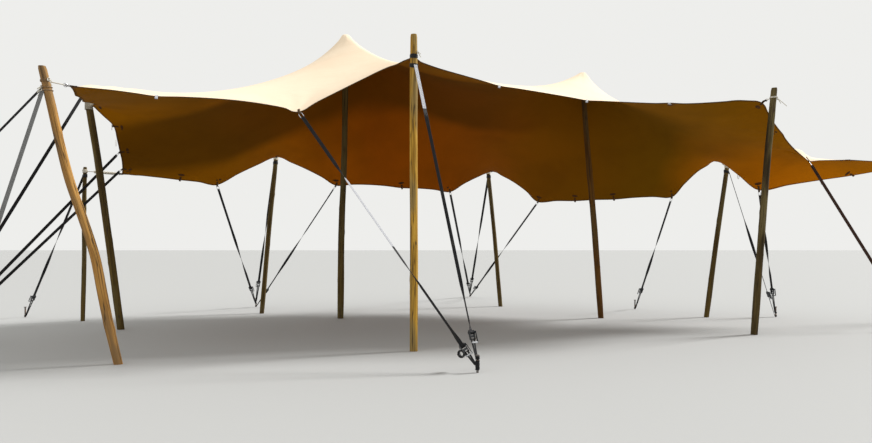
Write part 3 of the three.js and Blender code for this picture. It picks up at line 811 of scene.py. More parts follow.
def canopy_shapes():
    u, v = np.meshgrid(
        np.arange(CELLS_ACROSS * FINE + 1) / FINE, np.arange(CELLS_DEEP * FINE + 1) / FINE, indexing="ij")
    u, v = round_front_right(u, v)
    middle = cloth_at(u, v)
    normals = cloth_normal(u, v)
    middle = middle + normals * folds(middle, normals)[..., None]
    normals = grid_normals(middle)
    edge, across, deep = hem_distance(middle)
    half = np.where(edge < HEM_WIDTH, HEM_THICKNESS, SKIN_THICKNESS)[..., None] / 2
    run = np.stack([across, deep, edge], axis=-1).reshape(-1, 3)
    rows, columns = u.shape
    skins = [(middle + normals * half).reshape(-1, 3), (middle - normals * half).reshape(-1, 3)]
    ring = [i * columns + j for i, j in rim_ring(rows, columns)]
    count = rows * columns
    rim = [(a + count, b + count, b, a) for a, b in zip(ring, ring[1:] + ring[:1])]
    area = np.linalg.norm(
        np.cross(middle[1:, :-1] - middle[:-1, :-1], middle[:-1, 1:] - middle[:-1, :-1]), axis=-1).sum()
    return skins, run, net_faces(rows, columns, 0, False), net_faces(rows, columns, count, True), rim, area


def make_canopy():
    skins, run, top, under, rim, area = canopy_shapes()
    canopy = Piece()
    canopy.add((np.concatenate(skins), top + under + rim, np.concatenate([run, run])), cloth_top)
    canopy.repaint(len(top), len(top) + len(under), cloth_under)
    canopy.repaint(len(top) + len(under), len(canopy.faces), cloth_hem)
    made = canopy.make("stretch_canopy", replaces=("canopy",))
    print("canopy:", len(made.data.polygons), "faces, about", round(area, 1), "square metres")
    return made


canopy = make_canopy()

# %% [markdown]
# ## Patches and tabs
# Where a strap or rope takes hold of the cloth, the maker sews a tab over the hem and an oval patch
# on the underside, a little way in. Both follow the cloth: a step on its surface is turned into a step of
# the net with the surface's own slopes.

# %% Patches and tabs
LOOPS = [
    (4, 0), (25, 0), (31, 0), (37, 0), (44, 19), (42, 24), (30, 24), (28, 24), (16, 24), (3, 24), (0, 18),
]
ROPE_LOOPS = [(0, 18), (0, 19.2), (38, 24), (41, 24)]
ROPE_LOOP_SIZE = (0.05, 0.02)
ROPE_LOOP_DROP = 0.02
ROPE_LOOP_OUT = 0.025
ROPE_RADIUS = 0.0055
PATCH_LONG = 0.062
PATCH_WIDE = 0.026
PATCH_FROM_HEM = 0.13
PATCH_RISE = 0.0012
PATCH_GAP = 0.0004
PATCH_RINGS = ((1.0, 0.0), (0.94, PATCH_RISE), (0.5, PATCH_RISE))
PATCH_SIDES = 24
TAB_WIDTH = 0.034
TAB_THICKNESS = 0.0026
TAB_SEWN = 0.085
TAB_SHARES = (1.0, 0.75, 0.5, 0.25, 0.04)
TAB_BEND = 0.006
FREE_LOOP = 0.05
SHORT_LOOP = 0.02


def walk_cloth(cell, direction, distance):
    """The place of the net reached by going some way over the cloth, in a direction given in space"""
    slopes = np.stack(cloth_slopes(*cell), axis=1)
    step = np.linalg.lstsq(slopes, direction * distance, rcond=None)[0]
    return np.clip(cell + step, 0, (CELLS_ACROSS, CELLS_DEEP))


def hem_directions(cell):
    """At a point of the hem: outward over the cloth, along the hem, and the cloth's normal"""
    across, deep = [unit(slope) for slope in cloth_slopes(*cell)]
    rightward = int(cell[0] == CELLS_ACROSS) - int(cell[0] == 0)
    backward = int(cell[1] == CELLS_DEEP) - int(cell[1] == 0)
    outward = unit(across * rightward + deep * backward)
    normal = cloth_normal(*cell)
    return outward, unit(np.cross(normal, outward)), normal


def add_patch(piece, cell):
    """An oval patch under the cloth, its long side along the hem"""
    outward, along, _ = hem_directions(cell)
    middle = walk_cloth(cell, -outward, PATCH_FROM_HEM)
    turns = around(PATCH_SIDES)
    ways = [along * PATCH_LONG * math.cos(t) + outward * PATCH_WIDE * math.sin(t) for t in turns]
    rings = []
    for share, rise in PATCH_RINGS:
        u, v = np.transpose([walk_cloth(middle, way, share) for way in ways])
        rings.append(cloth_at(u, v) - cloth_normal(u, v) * (SKIN_THICKNESS / 2 + rise + PATCH_GAP))
    points = np.concatenate(rings)
    piece.add((points, tube_faces(len(rings), PATCH_SIDES), points), patch_cloth)


def sewn_points(cell, outward, side):
    """Points of a tab on the upper (1) or lower (-1) side of the cloth, from its end to the hem"""
    points = []
    for share in TAB_SHARES:
        spot = walk_cloth(cell, -outward, TAB_SEWN * share)
        points.append(cloth_at(*spot) + side * cloth_normal(*spot) * (HEM_THICKNESS + TAB_THICKNESS) / 2)
    return points


def add_tab(piece, cell, pull, reach, finish=cloth_hem):
    """A webbing tab: sewn to the cloth's top side, out round a ring, back and sewn to its underside"""
    outward, _, normal = hem_directions(cell)
    sideways = unit(np.cross(pull, normal))
    far = cloth_at(*cell) + pull * reach
    bend = [far + TAB_BEND * (pull * math.sin(t) + normal * math.cos(t)) for t in np.linspace(0, math.pi, 7)]
    heading = unit(outward + pull)
    line = np.array(sewn_points(cell, heading, 1) + bend + sewn_points(cell, heading, -1)[::-1])
    upward = unit(np.cross(np.gradient(line, axis=0), sideways))
    piece.add(sweep(line, sideways, upward, flat_outline(TAB_WIDTH, TAB_THICKNESS)), finish)


def add_rope_loop(piece, cell):
    """A long loop of thin rope that hangs from the hem"""
    outward, along, _ = hem_directions(cell)
    tall, wide = ROPE_LOOP_SIZE
    centre = cloth_at(*cell) + outward * ROPE_LOOP_OUT - UP * ROPE_LOOP_DROP
    piece.add(ring(centre, UP * tall, along * wide, np.cross(along, UP), ROPE_RADIUS), white_rope)


def make_sewn_parts():
    sewn = Piece()
    for cell in LOOPS + list(HOLDS.values()):
        add_patch(sewn, cell)
    for cell in LOOPS:
        reach, finish = (FREE_LOOP, pale_and_glint_webbing) if cell[1] == 0 else (SHORT_LOOP, patch_cloth)
        add_tab(sewn, cell, unit(hem_directions(cell)[0] - UP / 2), reach, finish)
    for cell in ROPE_LOOPS:
        add_rope_loop(sewn, cell)
    sewn.make("sewn_loops_and_patches")


make_sewn_parts()
print("sewn parts:", len(LOOPS), "tabs,", len(ROPE_LOOPS), "rope loops,", len(HOLDS) + len(LOOPS), "patches")

# %% [markdown]
# ## Poles
# Real poles aren't straight or round. The frame gives each pole's axis and thickness in a few rings. A
# spline through the rings gives a fine trunk, slow waves in its radius make it uneven, and a few bumps are
# the knots where branches were cut. The top is sawn off flat and its edge is worn.

# %% Poles
POLE_NODES = sorted(name for name in nodes if name.startswith("pole_"))
RING_SIDES = 12
TRUNK_SIDES = 24
RING_STEP = 0.035
# The front left and middle poles get golden and amber wood. The centre right pole and the poles not listed
# stand in the cloth's shade and get darker copies, which paint that shade.
POLE_WOOD = {
    "pole_front_left": amber_wood, "pole_front_middle": golden_wood, "pole_front_right": grey_wood,
    "pole_centre_right": shaded_red_wood,
}
KNOT_HEIGHT = 0.006
KNOT_LENGTH = 0.022
KNOT_SQUASH = 0.6
KNOTS_A_METRE = 2.2
KNOT_FREE_ENDS = (0.3, 0.4)
WORN_TOP = 0.006
SWELLS = ((0.03, 2, 1.3), (0.018, 3, -2.3), (0.014, 0, 5.1), (0.008, 7, 9))
GRAIN_SHIFT = 11


def spline_line(values, spots):
    """A smooth line through values that stand at 0, 1, 2 and so on, read at the spots"""
    low = np.clip(spots.astype(int), 0, len(values) - 2)
    weights = spline_weights(spots - low)
    ends = padded_ends(values)
    return sum(weights[:, k, None] * ends[low + k] for k in range(4))


def pole_rings(node):
    """Height, centre and radius of each whole ring of a pole in the frame"""
    points, _ = merged(nodes[node].data)
    levels = np.round(points[:, 2], 3)
    rings = []
    for level in np.unique(levels):
        ring = points[levels == level]
        if len(ring) >= RING_SIDES:
            centre = ring.mean(axis=0)
            rings.append((level, centre[0], centre[1], np.linalg.norm((ring - centre)[:, :2], axis=1).mean()))
    return np.array(rings)


def pole_axis(node, heights):
    """The pole's centre and radius at some heights, carried on past the last ring"""
    rings = pole_rings(node)
    step = rings[1, 0] - rings[0, 0]
    beyond = rings[-1] * 2 - rings[-2]
    rings = np.vstack([rings, beyond, beyond * 2 - rings[-1]])
    spots = np.clip(np.asarray(heights, float) / step, 0, len(rings) - 1.001)
    line = spline_line(rings, spots)
    return np.column_stack([line[:, 1:3], heights]), line[:, 3]


def swelling(turn, height, phases):
    """Slow waves in a trunk's radius: each has a share of it, waves round the trunk, and radians a metre"""
    swell = 0
    for (share, waves, climb), phase in zip(SWELLS, phases):
        swell += share * np.sin(waves * turn + climb * height + phase)
    return swell


def trunk(node, seed):
    """A trunk's points, its faces with the two ends last, and its points' places on straight wood"""
    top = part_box(node)[1].z
    heights = np.linspace(0, top, int(top / RING_STEP) + 1)
    centres, radii = pole_axis(node, heights)
    dice = np.random.default_rng(seed)
    phases = dice.uniform(0, 2 * math.pi, len(SWELLS))
    turn, height = np.meshgrid(around(TRUNK_SIDES), heights)
    radius = radii[:, None] * (1 + swelling(turn, height, phases))
    low, high = KNOT_FREE_ENDS
    for _ in range(int(top * KNOTS_A_METRE)):
        knot_height, knot_turn = dice.uniform(low, top - high), dice.uniform(0, 2 * math.pi)
        away = np.angle(np.exp(1j * (turn - knot_turn))) * radii[:, None]
        reach = away**2 + (height - knot_height) ** 2 * KNOT_SQUASH
        radius += KNOT_HEIGHT * dice.uniform(0.4, 1.0) * np.exp(-reach / (2 * KNOT_LENGTH**2))
    radius[-1] -= WORN_TOP
    out = np.stack([np.cos(turn), np.sin(turn), np.zeros_like(turn)], axis=-1)
    points = centres[:, None] + out * radius[..., None]
    straight = out * radii[:, None, None] + UP * (height + GRAIN_SHIFT * seed)[..., None]
    return points.reshape(-1, 3), tube_faces(len(heights), TRUNK_SIDES), straight.reshape(-1, 3)


def make_pole(node, seed):
    shape = trunk(node, seed)
    pole = Piece()
    pole.add(shape, POLE_WOOD.get(node, shaded_brown_wood))
    pole.repaint(len(shape[1]) - 2, len(shape[1]), cut_wood)
    pole.make(node.replace("pole", "trunk"), replaces=(node,))


for seed, node in enumerate(POLE_NODES):
    make_pole(node, seed)
print("poles:", len(POLE_NODES))

# %% [markdown]
# ## Ties
# Where a pole lifts the hem, a rope or a webbing sling is wound round the pole and runs to a steel ring at
# the cloth. Each rigger ties it in their own way: a neat coil with bound runs, a few turns with a knot beside
# the pole, or a webbing sling. The coil is a helix, and its pitch is a little over the rope's thickness.

# %% Ties
TIES = {
    "tie_front_left": ("front_left", "pole_front_left", 3.345, "short"),
    "tie_front_middle": ("front_middle", "pole_front_middle", 3.975, "sling"),
    "tie_front_right": ("front_right", "pole_front_right", 3.74, "knot"),
    "tie_left_middle": ("left_middle", "pole_left_middle", 3.69, "hank"),
    "tie_rear_left": ("rear_left", "pole_rear_left", 2.75, "bundle"),
    "tie_back_left": ("back_left", "pole_back_left", 3.20, "coil"),
    "tie_back_middle": ("back_middle", "pole_back_middle", 3.04, "coil"),
    "tie_back_right": ("back_right", "pole_back_right", 2.96, "coil"),
    "tie_rear_right": ("rear_right", "pole_rear_right", 2.90, "coil"),
}
TURNS = {"coil": 6, "short": 2, "knot": 2, "bundle": 5, "hank": 13}
RUNS = {"bundle": (-3, -1, 1, 3), "sling": ()}
USUAL_RUNS = (-1, 1)
TURN_ROPES = {"short": tarred_rope, "hank": soiled_rope}
STEPS_A_TURN = 28
COIL_PITCH = ROPE_RADIUS * 2.15
RUN_SPREAD = (1.3, 0.9)
BINDING_PITCH = ROPE_RADIUS * 2.1
BINDING_STEPS = 20
BINDING_REACH = 0.0143
BINDING_OVAL = (1.25, 0.9)
BINDING_TURNS = 5
BINDING_PLACE = 0.35
SHORTEST_BOUND_RUN = 0.16
BUNDLE_TURNS = 34
BUNDLE_BOUND = 0.40
BUNDLE_REACH = 0.024
RING_RADIUS = 0.022
RING_WIRE = 0.004
RING_FROM_HEM = 0.05
SLING_WIDTH = 0.042
SLING_THICKNESS = 0.003
SLING_LAYER = 0.0032
SLING_RUN = (SLING_WIDTH * 0.85, 0.0034)
TURN_GAP = 0.001
SLING_TILTS = (0.1, -0.25)
BAND_STEPS = 40
ROPE_KNOT_SIZE = (0.017, 0.012)
ROPE_KNOT_TILTS = (0.5, -0.6)
END_SAG = 0.012
RIGHT_SIDE = np.array([0.88, -0.47, 0.0])
LEFT_SIDE = np.array([-0.88, -0.47, 0.0])
SHORT_ENDS = ((0.075, (0.55, -0.1, -0.8)), (0.05, (0.75, -0.35, -0.35)))
LONG_ENDS = ((0.09, (0.55, -0.1, -0.8)), (0.18, (0.72, -0.2, -0.66)))
KNOTS = {
    "tie_front_middle": (0.05, 0.9, SHORT_ENDS), "tie_front_right": (-0.02, 1.3, LONG_ENDS),
    "tie_front_left": (0.01, 1.2, SHORT_ENDS),
}

# %% [markdown]
# ## Turns, knots and runs
# Each part of a tie is a small function of its own, so one style is a choice of parts. A knot isn't tied
# strand by strand: two crossed loops and two loose ends read as one from a few metres away.

# %% Turns, knots and runs
def axis_at(pole, height):
    centres, radii = pole_axis(pole, np.array([height]))
    return centres[0], radii[0]


def rope_coil(centre, radius, turns, start_angle):
    """Close turns of rope round an upright pole"""
    steps = np.arange(turns * STEPS_A_TURN + 1)[:, None] / STEPS_A_TURN
    angle = start_angle + steps * 2 * math.pi
    out = np.hstack([np.cos(angle), np.sin(angle), angle * 0])
    line = centre + out * (radius + ROPE_RADIUS) + UP * (steps - turns / 2) * COIL_PITCH
    return tube(line, ROPE_RADIUS, UP)


def steel_ring(centre, normal):
    side = unit(np.cross(normal, (0.13, 0.21, 0.97)))
    return ring(centre, side * RING_RADIUS, np.cross(normal, side) * RING_RADIUS, normal, RING_WIRE)


def band_round(centre, radius, width, thickness, tilt, toward):
    """A strap's turn round an upright pole or stake, tilted down towards one side"""
    angle = around(BAND_STEPS)
    out = np.column_stack([np.cos(angle), np.sin(angle), angle * 0])
    circle = centre + out * (radius + thickness / 2) - UP * (out @ toward * tilt * radius)[:, None]
    return sweep(circle, out, UP, flat_outline(width, thickness)[:, ::-1], closed=True)


def add_knot(piece, centre, radius, scale, ends, side=RIGHT_SIDE):
    """A knot beside the pole: two crossed loops and two loose ends"""
    middle = centre + side * (radius + ROPE_RADIUS * 2.2)
    tall, wide = np.array(ROPE_KNOT_SIZE) * scale
    for tilt in ROPE_KNOT_TILTS:
        up = unit(UP + (0, tilt, 0))
        flat = unit(np.cross(up, side))
        piece.add(ring(middle, up * tall, flat * wide, side, ROPE_RADIUS, 21), white_rope)
    for length, heading in ends:
        share = np.linspace(0, 1, 9)[:, None]
        end = middle + np.array(heading) * (np.sign(side[0]), 1, 1) * share * length
        end -= UP * END_SAG * share**2
        piece.add(tube(end, ROPE_RADIUS * 0.95, (0, 1, 0.2)), white_rope)


def add_runs(piece, style, centre, radius, pull, ring_at):
    """The rope's straight runs from the pole to the ring"""
    across = unit(np.cross(pull, UP)) * ROPE_RADIUS
    for side in RUNS.get(style, USUAL_RUNS):
        start = centre - pull * radius * 0.9 + across * side * RUN_SPREAD[0]
        end = ring_at + pull * RING_RADIUS * 0.8 + across * side * RUN_SPREAD[1]
        piece.add(tube(line_points(start, end, 9), ROPE_RADIUS, UP), white_rope)


def add_binding(piece, middle, pull, turns, reach):
    """Close turns across the runs, which draw them together"""
    across = unit(np.cross(pull, UP))
    wide, tall = np.array(BINDING_OVAL) * reach
    steps = np.arange(turns * BINDING_STEPS + 1)[:, None] / BINDING_STEPS
    turn = steps * 2 * math.pi
    loops = middle - pull * (steps - turns / 2) * BINDING_PITCH
    loops += across * np.cos(turn) * wide + np.cross(across, pull) * np.sin(turn) * tall
    piece.add(tube(loops, ROPE_RADIUS, pull), white_rope)


def add_sling(piece, centre, radius, pull, ring_at):
    """Two turns of webbing round the pole and a webbing run to the ring"""
    for turn, tilt in enumerate(SLING_TILTS):
        within = radius + TURN_GAP + turn * SLING_LAYER
        shape = band_round(centre, within, SLING_WIDTH, SLING_THICKNESS, tilt, levelled(-pull))
        piece.add(shape, black_webbing)
    line = line_points(centre - pull * radius * 0.95, ring_at + pull * RING_RADIUS * 0.7, 8)
    across = unit(np.cross(pull, UP))
    piece.add(sweep(line, across, np.cross(-pull, across), flat_outline(*SLING_RUN)), black_webbing)

# %% [markdown]
# ## Tie every pole
# A tie starts from two known places: the pole's axis at the height of its turns, and the hold on the hem. All
# else follows from the line between them, so a tie fits wherever the frame puts the pole.

# %% Tie every pole
def make_tie(name, hold, pole, height, style):
    centre, radius = axis_at(pole, height)
    hem = cloth_at(*HOLDS[hold])
    pull = unit(centre - hem)
    free = np.linalg.norm(centre - hem) - radius
    far = min(RING_FROM_HEM, free)
    ring_at = hem + pull * far
    tie = Piece()
    if style == "sling":
        add_sling(tie, centre, radius, pull, ring_at)
    else:
        toward = math.atan2(-pull[1], -pull[0])
        tie.add(rope_coil(centre, radius, TURNS[style], toward), TURN_ROPES.get(style, white_rope))
    if name in KNOTS:
        rise, scale, ends = KNOTS[name]
        add_knot(tie, centre + UP * rise, radius, scale, ends)
    add_runs(tie, style, centre, radius, pull, ring_at)
    if style == "bundle":
        add_binding(tie, ring_at + pull * (BUNDLE_BOUND / 2 + RING_RADIUS), pull, BUNDLE_TURNS, BUNDLE_REACH)
    elif style == "coil" and free > SHORTEST_BOUND_RUN:
        bound = centre - pull * (radius + (free - far) * BINDING_PLACE)
        add_binding(tie, bound, pull, BINDING_TURNS, BINDING_REACH)
    tie.add(steel_ring(ring_at, unit(np.cross(pull, (0.1, 0.3, 1.0)))), ring_steel)
    add_tab(tie, HOLDS[hold], pull, far)
    tie.make(name.replace("tie", "lashing"), replaces=(name,))


for name, parts in TIES.items():
    make_tie(name, *parts)
print("ties:", len(TIES))

# %% [markdown]
# ## Ratchets
# A ratchet is two steel cheeks with a slotted spool between them. The strap winds on the spool, toothed
# wheels outside the cheeks hold it, and a lever turns it. It is drawn once in its own frame, with x down the
# strap, y along the axle and z towards its upper side, and then placed on every guy.

# %% Ratchet parts
CHEEK_HALF = 0.043
CHEEK_RADIUS = 0.017
CHEEK_THICKNESS = 0.0035
CHEEK_PLACE = 0.03
SPOOL_X = -0.03
SPOOL_RADIUS = 0.0085
PIN_RADIUS = 0.005
AXLE_HALF = 0.047
CROSSBAR_X = 0.048
WHEEL_TEETH = 12
WHEEL_THICKNESS = 0.003
WHEEL_PLACE = 0.0345
TOOTH = ((0.0, 0.016), (0.15, 0.022), (0.55, 0.022))
LATCH = ((0.004, 0.006), (0.03, 0.006), (0.03, 0.009), (0.004, 0.009))
LATCH_PIN = (0.012, 0.008, 0.003)
WOUND_TURNS = 3.25
LEVER_LENGTH = 0.125
LEVER_HALF_WIDTH = 0.011
LEVER_RISE = 0.03
LEVER_PLACE = 0.040
LEVER_PLATES = (0.0034, 0.0038)
GRIP_RADIUS = 0.009
GRIP_SIDES = 18
STRAP_WIDTH = 0.05
STRAP_THICKNESS = 0.0035

# %% [markdown]
# ## Plates, rods and rolls
# Three shapes make the whole tool: a flat plate with any outline, a rod along the axle, and a roll of
# webbing. A plate is only its outline twice, a thickness apart.

# %% Plates, rods and rolls
def plate(outline, thickness, side):
    """A flat plate standing square to the axle: its outline is in x and z"""
    levels = (side + thickness / 2, side - thickness / 2)
    points = np.concatenate([np.insert(np.array(outline), 1, level, axis=1) for level in levels])
    return points, tube_faces(2, len(outline)), points


def long_hole_outline(start, end, radius, steps=8):
    """A bar with two round ends, from one point to another, as an outline in x and z"""
    start, end = np.array(start, float), np.array(end, float)
    heading = math.atan2(end[1] - start[1], end[0] - start[0])
    outline = []
    for centre, turn in ((end, heading - math.pi / 2), (start, heading + math.pi / 2)):
        for k in range(steps + 1):
            angle = turn + math.pi * k / steps
            outline.append(centre + radius * np.array([math.cos(angle), math.sin(angle)]))
    return outline


def wheel_outline():
    """A toothed wheel round the spool's axle"""
    outline = []
    for tooth in range(WHEEL_TEETH):
        for share, radius in TOOTH:
            angle = (tooth + share) * 2 * math.pi / WHEEL_TEETH
            outline.append((SPOOL_X + radius * math.cos(angle), radius * math.sin(angle)))
    return outline


def axle_rod(x, z, radius, half, sides=14):
    return sweep([(x, -half, z), (x, half, z)], (1, 0, 0), (0, 0, -1), round_outline(radius, sides))


def spiral(middle, start, end, turns, steps, width):
    """Webbing rolled up round the axle's direction, from one radius to another"""
    angle = np.linspace(0, turns * 2 * math.pi, steps)
    out = np.column_stack([np.cos(angle), angle * 0, np.sin(angle)])
    line = middle + out * np.linspace(start, end, steps)[:, None]
    return sweep(line, (0, 1, 0), -out, flat_outline(width, STRAP_THICKNESS))

# %% [markdown]
# ## The ratchet and its lever
# The body belongs to its guy, and the lever is a shape of its own, because two levers are pieces that swing.

# %% The ratchet and its lever
def add_ratchet(piece, place):
    for side in (-1, 1):
        cheek = long_hole_outline((-CHEEK_HALF, 0), (CHEEK_HALF, 0), CHEEK_RADIUS)
        piece.add(plate(cheek, CHEEK_THICKNESS, side * CHEEK_PLACE), dark_steel, place)
        piece.add(plate(wheel_outline(), WHEEL_THICKNESS, side * WHEEL_PLACE), dark_steel, place)
    piece.add(axle_rod(SPOOL_X, 0, SPOOL_RADIUS, CHEEK_PLACE), dark_steel, place)
    piece.add(axle_rod(SPOOL_X, 0, PIN_RADIUS, AXLE_HALF), dark_steel, place)
    piece.add(axle_rod(CROSSBAR_X, 0, PIN_RADIUS, CHEEK_PLACE + 0.006), dark_steel, place)
    piece.add(axle_rod(*LATCH_PIN, CHEEK_PLACE), dark_steel, place)
    piece.add(plate(LATCH, 2 * CHEEK_PLACE - 0.006, 0), dark_steel, place)
    inner = SPOOL_RADIUS + 0.002
    outer = inner + STRAP_THICKNESS * 1.05 * WOUND_TURNS
    wound = spiral((SPOOL_X, 0, 0), inner, outer, WOUND_TURNS, 70, STRAP_WIDTH - 0.003)
    piece.add(wound, black_webbing, place)


def add_lever(piece, place):
    """Two arms that stand off the spool's axle on two ears, with a round grip across their ends"""
    end = LEVER_LENGTH + SPOOL_X
    arm = long_hole_outline((SPOOL_X, LEVER_RISE), (end, LEVER_RISE), LEVER_HALF_WIDTH)
    ear = long_hole_outline((SPOOL_X, 0), (SPOOL_X, LEVER_RISE), LEVER_HALF_WIDTH)
    for side in (-1, 1):
        for outline, thickness in zip((arm, ear), LEVER_PLATES):
            piece.add(plate(outline, thickness, side * LEVER_PLACE), dark_steel, place)
    piece.add(axle_rod(end, LEVER_RISE, GRIP_RADIUS, LEVER_PLACE + 0.002, GRIP_SIDES), ring_steel, place)

# %% [markdown]
# ## Guys
# A guy starts at the hem, in a webbing loop with a ring, or as turns round a pole. The long strap runs down
# to the ratchet. Below it an endless loop of narrower webbing goes round the ratchet's crossbar and round
# the stake, which gives the two legs that part upward.

# %% Guys
GUYS = {
    "guy_front_low": ("stake_front", 1, "front_low"),
    "guy_front_pole": ("stake_front", 2.4, ("pole_front_middle", 3.85)),
    "guy_front_left_fore": ("stake_front_left", 0, ("pole_front_left", 3.236)),
    "guy_front_left_side": ("stake_left_front", 0, ("pole_front_left", 3.272)),
    "guy_left_pole": ("stake_left", 2, ("pole_left_middle", 3.86)),
    "guy_left_hem": ("stake_left", 1, "left_hem"),
    "guy_left_corner": ("stake_left", 0, "left_corner"),
    "guy_rear_left": ("stake_rear_left", 0, ("pole_rear_left", 2.66)),
    "guy_back_left_low": ("stake_back_left", 1, "left_back_low"),
    "guy_back_left_pole": ("stake_back_left", 2, ("pole_back_left", 3.10)),
    "guy_back_left_inner": ("stake_back_left", 0, "back_low_left"),
    "guy_back_middle_left": ("stake_back_middle", 1, "back_low_middle_left"),
    "guy_back_middle_pole": ("stake_back_middle", 2, ("pole_back_middle", 2.94)),
    "guy_back_middle_right": ("stake_back_middle", 0, "back_low_middle_right"),
    "guy_back_right_low": ("stake_back_right", 0, "back_low_right"),
    "guy_right_back_low": ("stake_right_back", 1, "right_back_low"),
    "guy_right_back_pole": ("stake_right_back", 0, ("pole_back_right", 2.85)),
    "guy_right_low": ("stake_right", 0, "right_low"),
    "guy_rear_right": ("stake_rear_right", 0, ("pole_rear_right", 2.79)),
}
USUAL_REACH = 0.43
REACHES = {"guy_front_low": 0.230, "guy_front_pole": 0.263}
ROLLS = {"guy_front_low": math.radians(50), "guy_front_left_fore": math.radians(70)}
USUAL_TWIST = ((0.0, 180), (0.4, 180), (0.85, 0), (1.0, 0))
SIDE_TWIST = ((0.0, 90), (0.85, 90), (1.0, 0))
TWISTS = {
    "guy_front_low": ((0.0, 45), (0.22, 45), (0.3, 130), (0.66, 130), (0.76, 75), (0.94, 75), (1.0, 0)),
    "guy_front_pole": ((0.0, 0), (0.2, 0), (0.26, 65), (0.84, 65), (0.89, 103), (0.97, 103), (1.0, 180)),
    "guy_front_left_fore": ((0.0, -70), (0.9, -70), (1.0, 0)),
    "guy_left_pole": SIDE_TWIST, "guy_left_hem": SIDE_TWIST, "guy_left_corner": SIDE_TWIST,
    "guy_right_low": SIDE_TWIST,
}
# Shares of these straps painted pale: a painted highlight where the sun glints on the black webbing.
GLINT_STRETCHES = {"guy_front_pole": (0.0, 0.2), "guy_front_low": (0.3, 0.6)}
OTHER_WEBBING = {"guy_front_left_fore": grey_webbing, "guy_right_low": brown_webbing}
STRAP_STEPS = 60
ROPE_TOPS = {"guy_front_left_fore": math.radians(-60), "guy_front_left_side": 0.0}
ROPE_TURNS = 1
WRAP_THICKNESS = 0.011
LEVER_BODIES = {"guy_front_low": "lever_low", "guy_front_pole": "lever_pole"}
FIRST_LOOP_HEIGHT = 0.026
LOOP_SPACING = 0.06
STAKE_RADIUS = 0.014
USUAL_LOOP = (0.024, 0.008)
WOUND = {"guy_front_low": (0.110, 0.015), "guy_front_pole": (0.038, 0.015)}
WEBBING_LAYER = 0.004
LEG_WIDTH = 0.022
SEWN_LENGTH = 0.22
LEG_PLACE = LEG_WIDTH / 2 + 0.006
LEG_FOOT_PLACE = 0.006
TURN_THICKNESS = 0.0033
TURN_TILT = 0.22
POLE_TILTS = (0.12, 0.34)
LINK_LENGTH = 0.085
LINK_WIDTH = 0.046
LINK_WIRE = 0.0042
LINK_FROM_HEM = 0.018
LINK_TAB_REACH = 0.03
EYE_FROM_LINK = 0.006
TAIL_PLACE = (0.030, 0.007, -0.065)
TAIL_RADII = (0.026, 0.048)
TAIL_TURNS = 4
TAIL_WIDTH = 0.038
TAIL_TIE = (0.014, 0.035, 0.011)
WORN_EDGE = 0.0008

# %% [markdown]
# ## A guy's line
# A guy is taut, so it is a straight line from its hold to its stake. The line gives its ratchet a frame, and
# the strap is a flat bar along it that turns about itself on the way, as real straps do.

# %% A guy's line
def pole_start(name, hold, base):
    """Where a guy leaves its wrap: on the pole's side that faces the stake, or some way round from there"""
    centre, radius = axis_at(*hold)
    out = levelled(base - centre)
    turn = ROPE_TOPS.get(name, 0.0)
    out = out * math.cos(turn) + np.cross(UP, out) * math.sin(turn)
    return centre + out * (radius + WRAP_THICKNESS / 2)


def guy_ends(name, stake, slot, hold):
    low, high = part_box(stake)
    base = np.array([(low.x + high.x) / 2, (low.y + high.y) / 2, FIRST_LOOP_HEIGHT + slot * LOOP_SPACING])
    start = cloth_at(*HOLDS[hold]) if isinstance(hold, str) else pole_start(name, hold, base)
    thickness = WOUND.get(name, USUAL_LOOP)[1]
    return start, base, base + levelled(start - base) * (STAKE_RADIUS + thickness / 2)


def guy_frame(start, foot, reach, roll):
    """The ratchet's own frame on a guy: x down the strap, y along the axle, z on the upper side"""
    down = unit(foot - start)
    axle = unit(np.cross(UP, down))
    axle = axle * math.cos(roll) + np.cross(down, axle) * math.sin(roll)
    place = np.eye(4)
    place[:3, :3] = np.column_stack([down, axle, np.cross(down, axle)])
    place[:3, 3] = foot - down * reach
    return place


def strap(start, end, axle, width, steps=24, twist=((0.0, 0), (1.0, 0))):
    """A flat strap, turned about its own line by the twist's degrees at the twist's shares of its length"""
    along = unit(end - start)
    shares, degrees = zip(*twist)
    angle = np.radians(np.interp(np.linspace(0, 1, steps), shares, degrees))[:, None]
    sideways = axle * np.cos(angle) + np.cross(along, axle) * np.sin(angle)
    outline = flat_outline(width, STRAP_THICKNESS)
    return sweep(line_points(start, end, steps), sideways, np.cross(along, sideways), outline)

# %% [markdown]
# ## A guy's top and strap
# At the hem a strap is sewn round a steel link that a tab holds. On a pole it is wound round, or a rope is.

# %% A guy's top and strap
def add_link(piece, start, down, axle):
    """A long steel link between the cloth's tab and the strap's sewn eye"""
    straight = LINK_LENGTH - LINK_WIDTH
    path = []
    for side in (1, -1):
        for t in np.linspace(-math.pi / 2, math.pi / 2, 9):
            bend = (down * math.cos(t) + axle * math.sin(t)) * side
            path.append(start + down * (LINK_LENGTH / 2 + side * straight / 2) + bend * LINK_WIDTH / 2)
    path = np.array(path)
    normal = np.cross(down, axle)
    forward = unit(np.roll(path, -1, axis=0) - np.roll(path, 1, axis=0))
    shape = sweep(path, np.cross(forward, normal), normal, round_outline(LINK_WIRE), closed=True)
    piece.add(shape, ring_steel)


def add_pole_top(piece, name, hold, down):
    """A guy's turns round its pole: two of webbing, or one of rope with a knot"""
    centre, radius = axis_at(*hold)
    if name in ROPE_TOPS:
        piece.add(rope_coil(centre, radius, ROPE_TURNS, math.pi), tarred_rope)
        add_knot(piece, centre, radius, 1.0, SHORT_ENDS, LEFT_SIDE)
        return
    for turn, tilt in enumerate(POLE_TILTS):
        within = radius + TURN_GAP + turn * STRAP_THICKNESS
        shape = band_round(centre, within, STRAP_WIDTH, STRAP_THICKNESS, tilt, levelled(down))
        piece.add(shape, black_webbing)


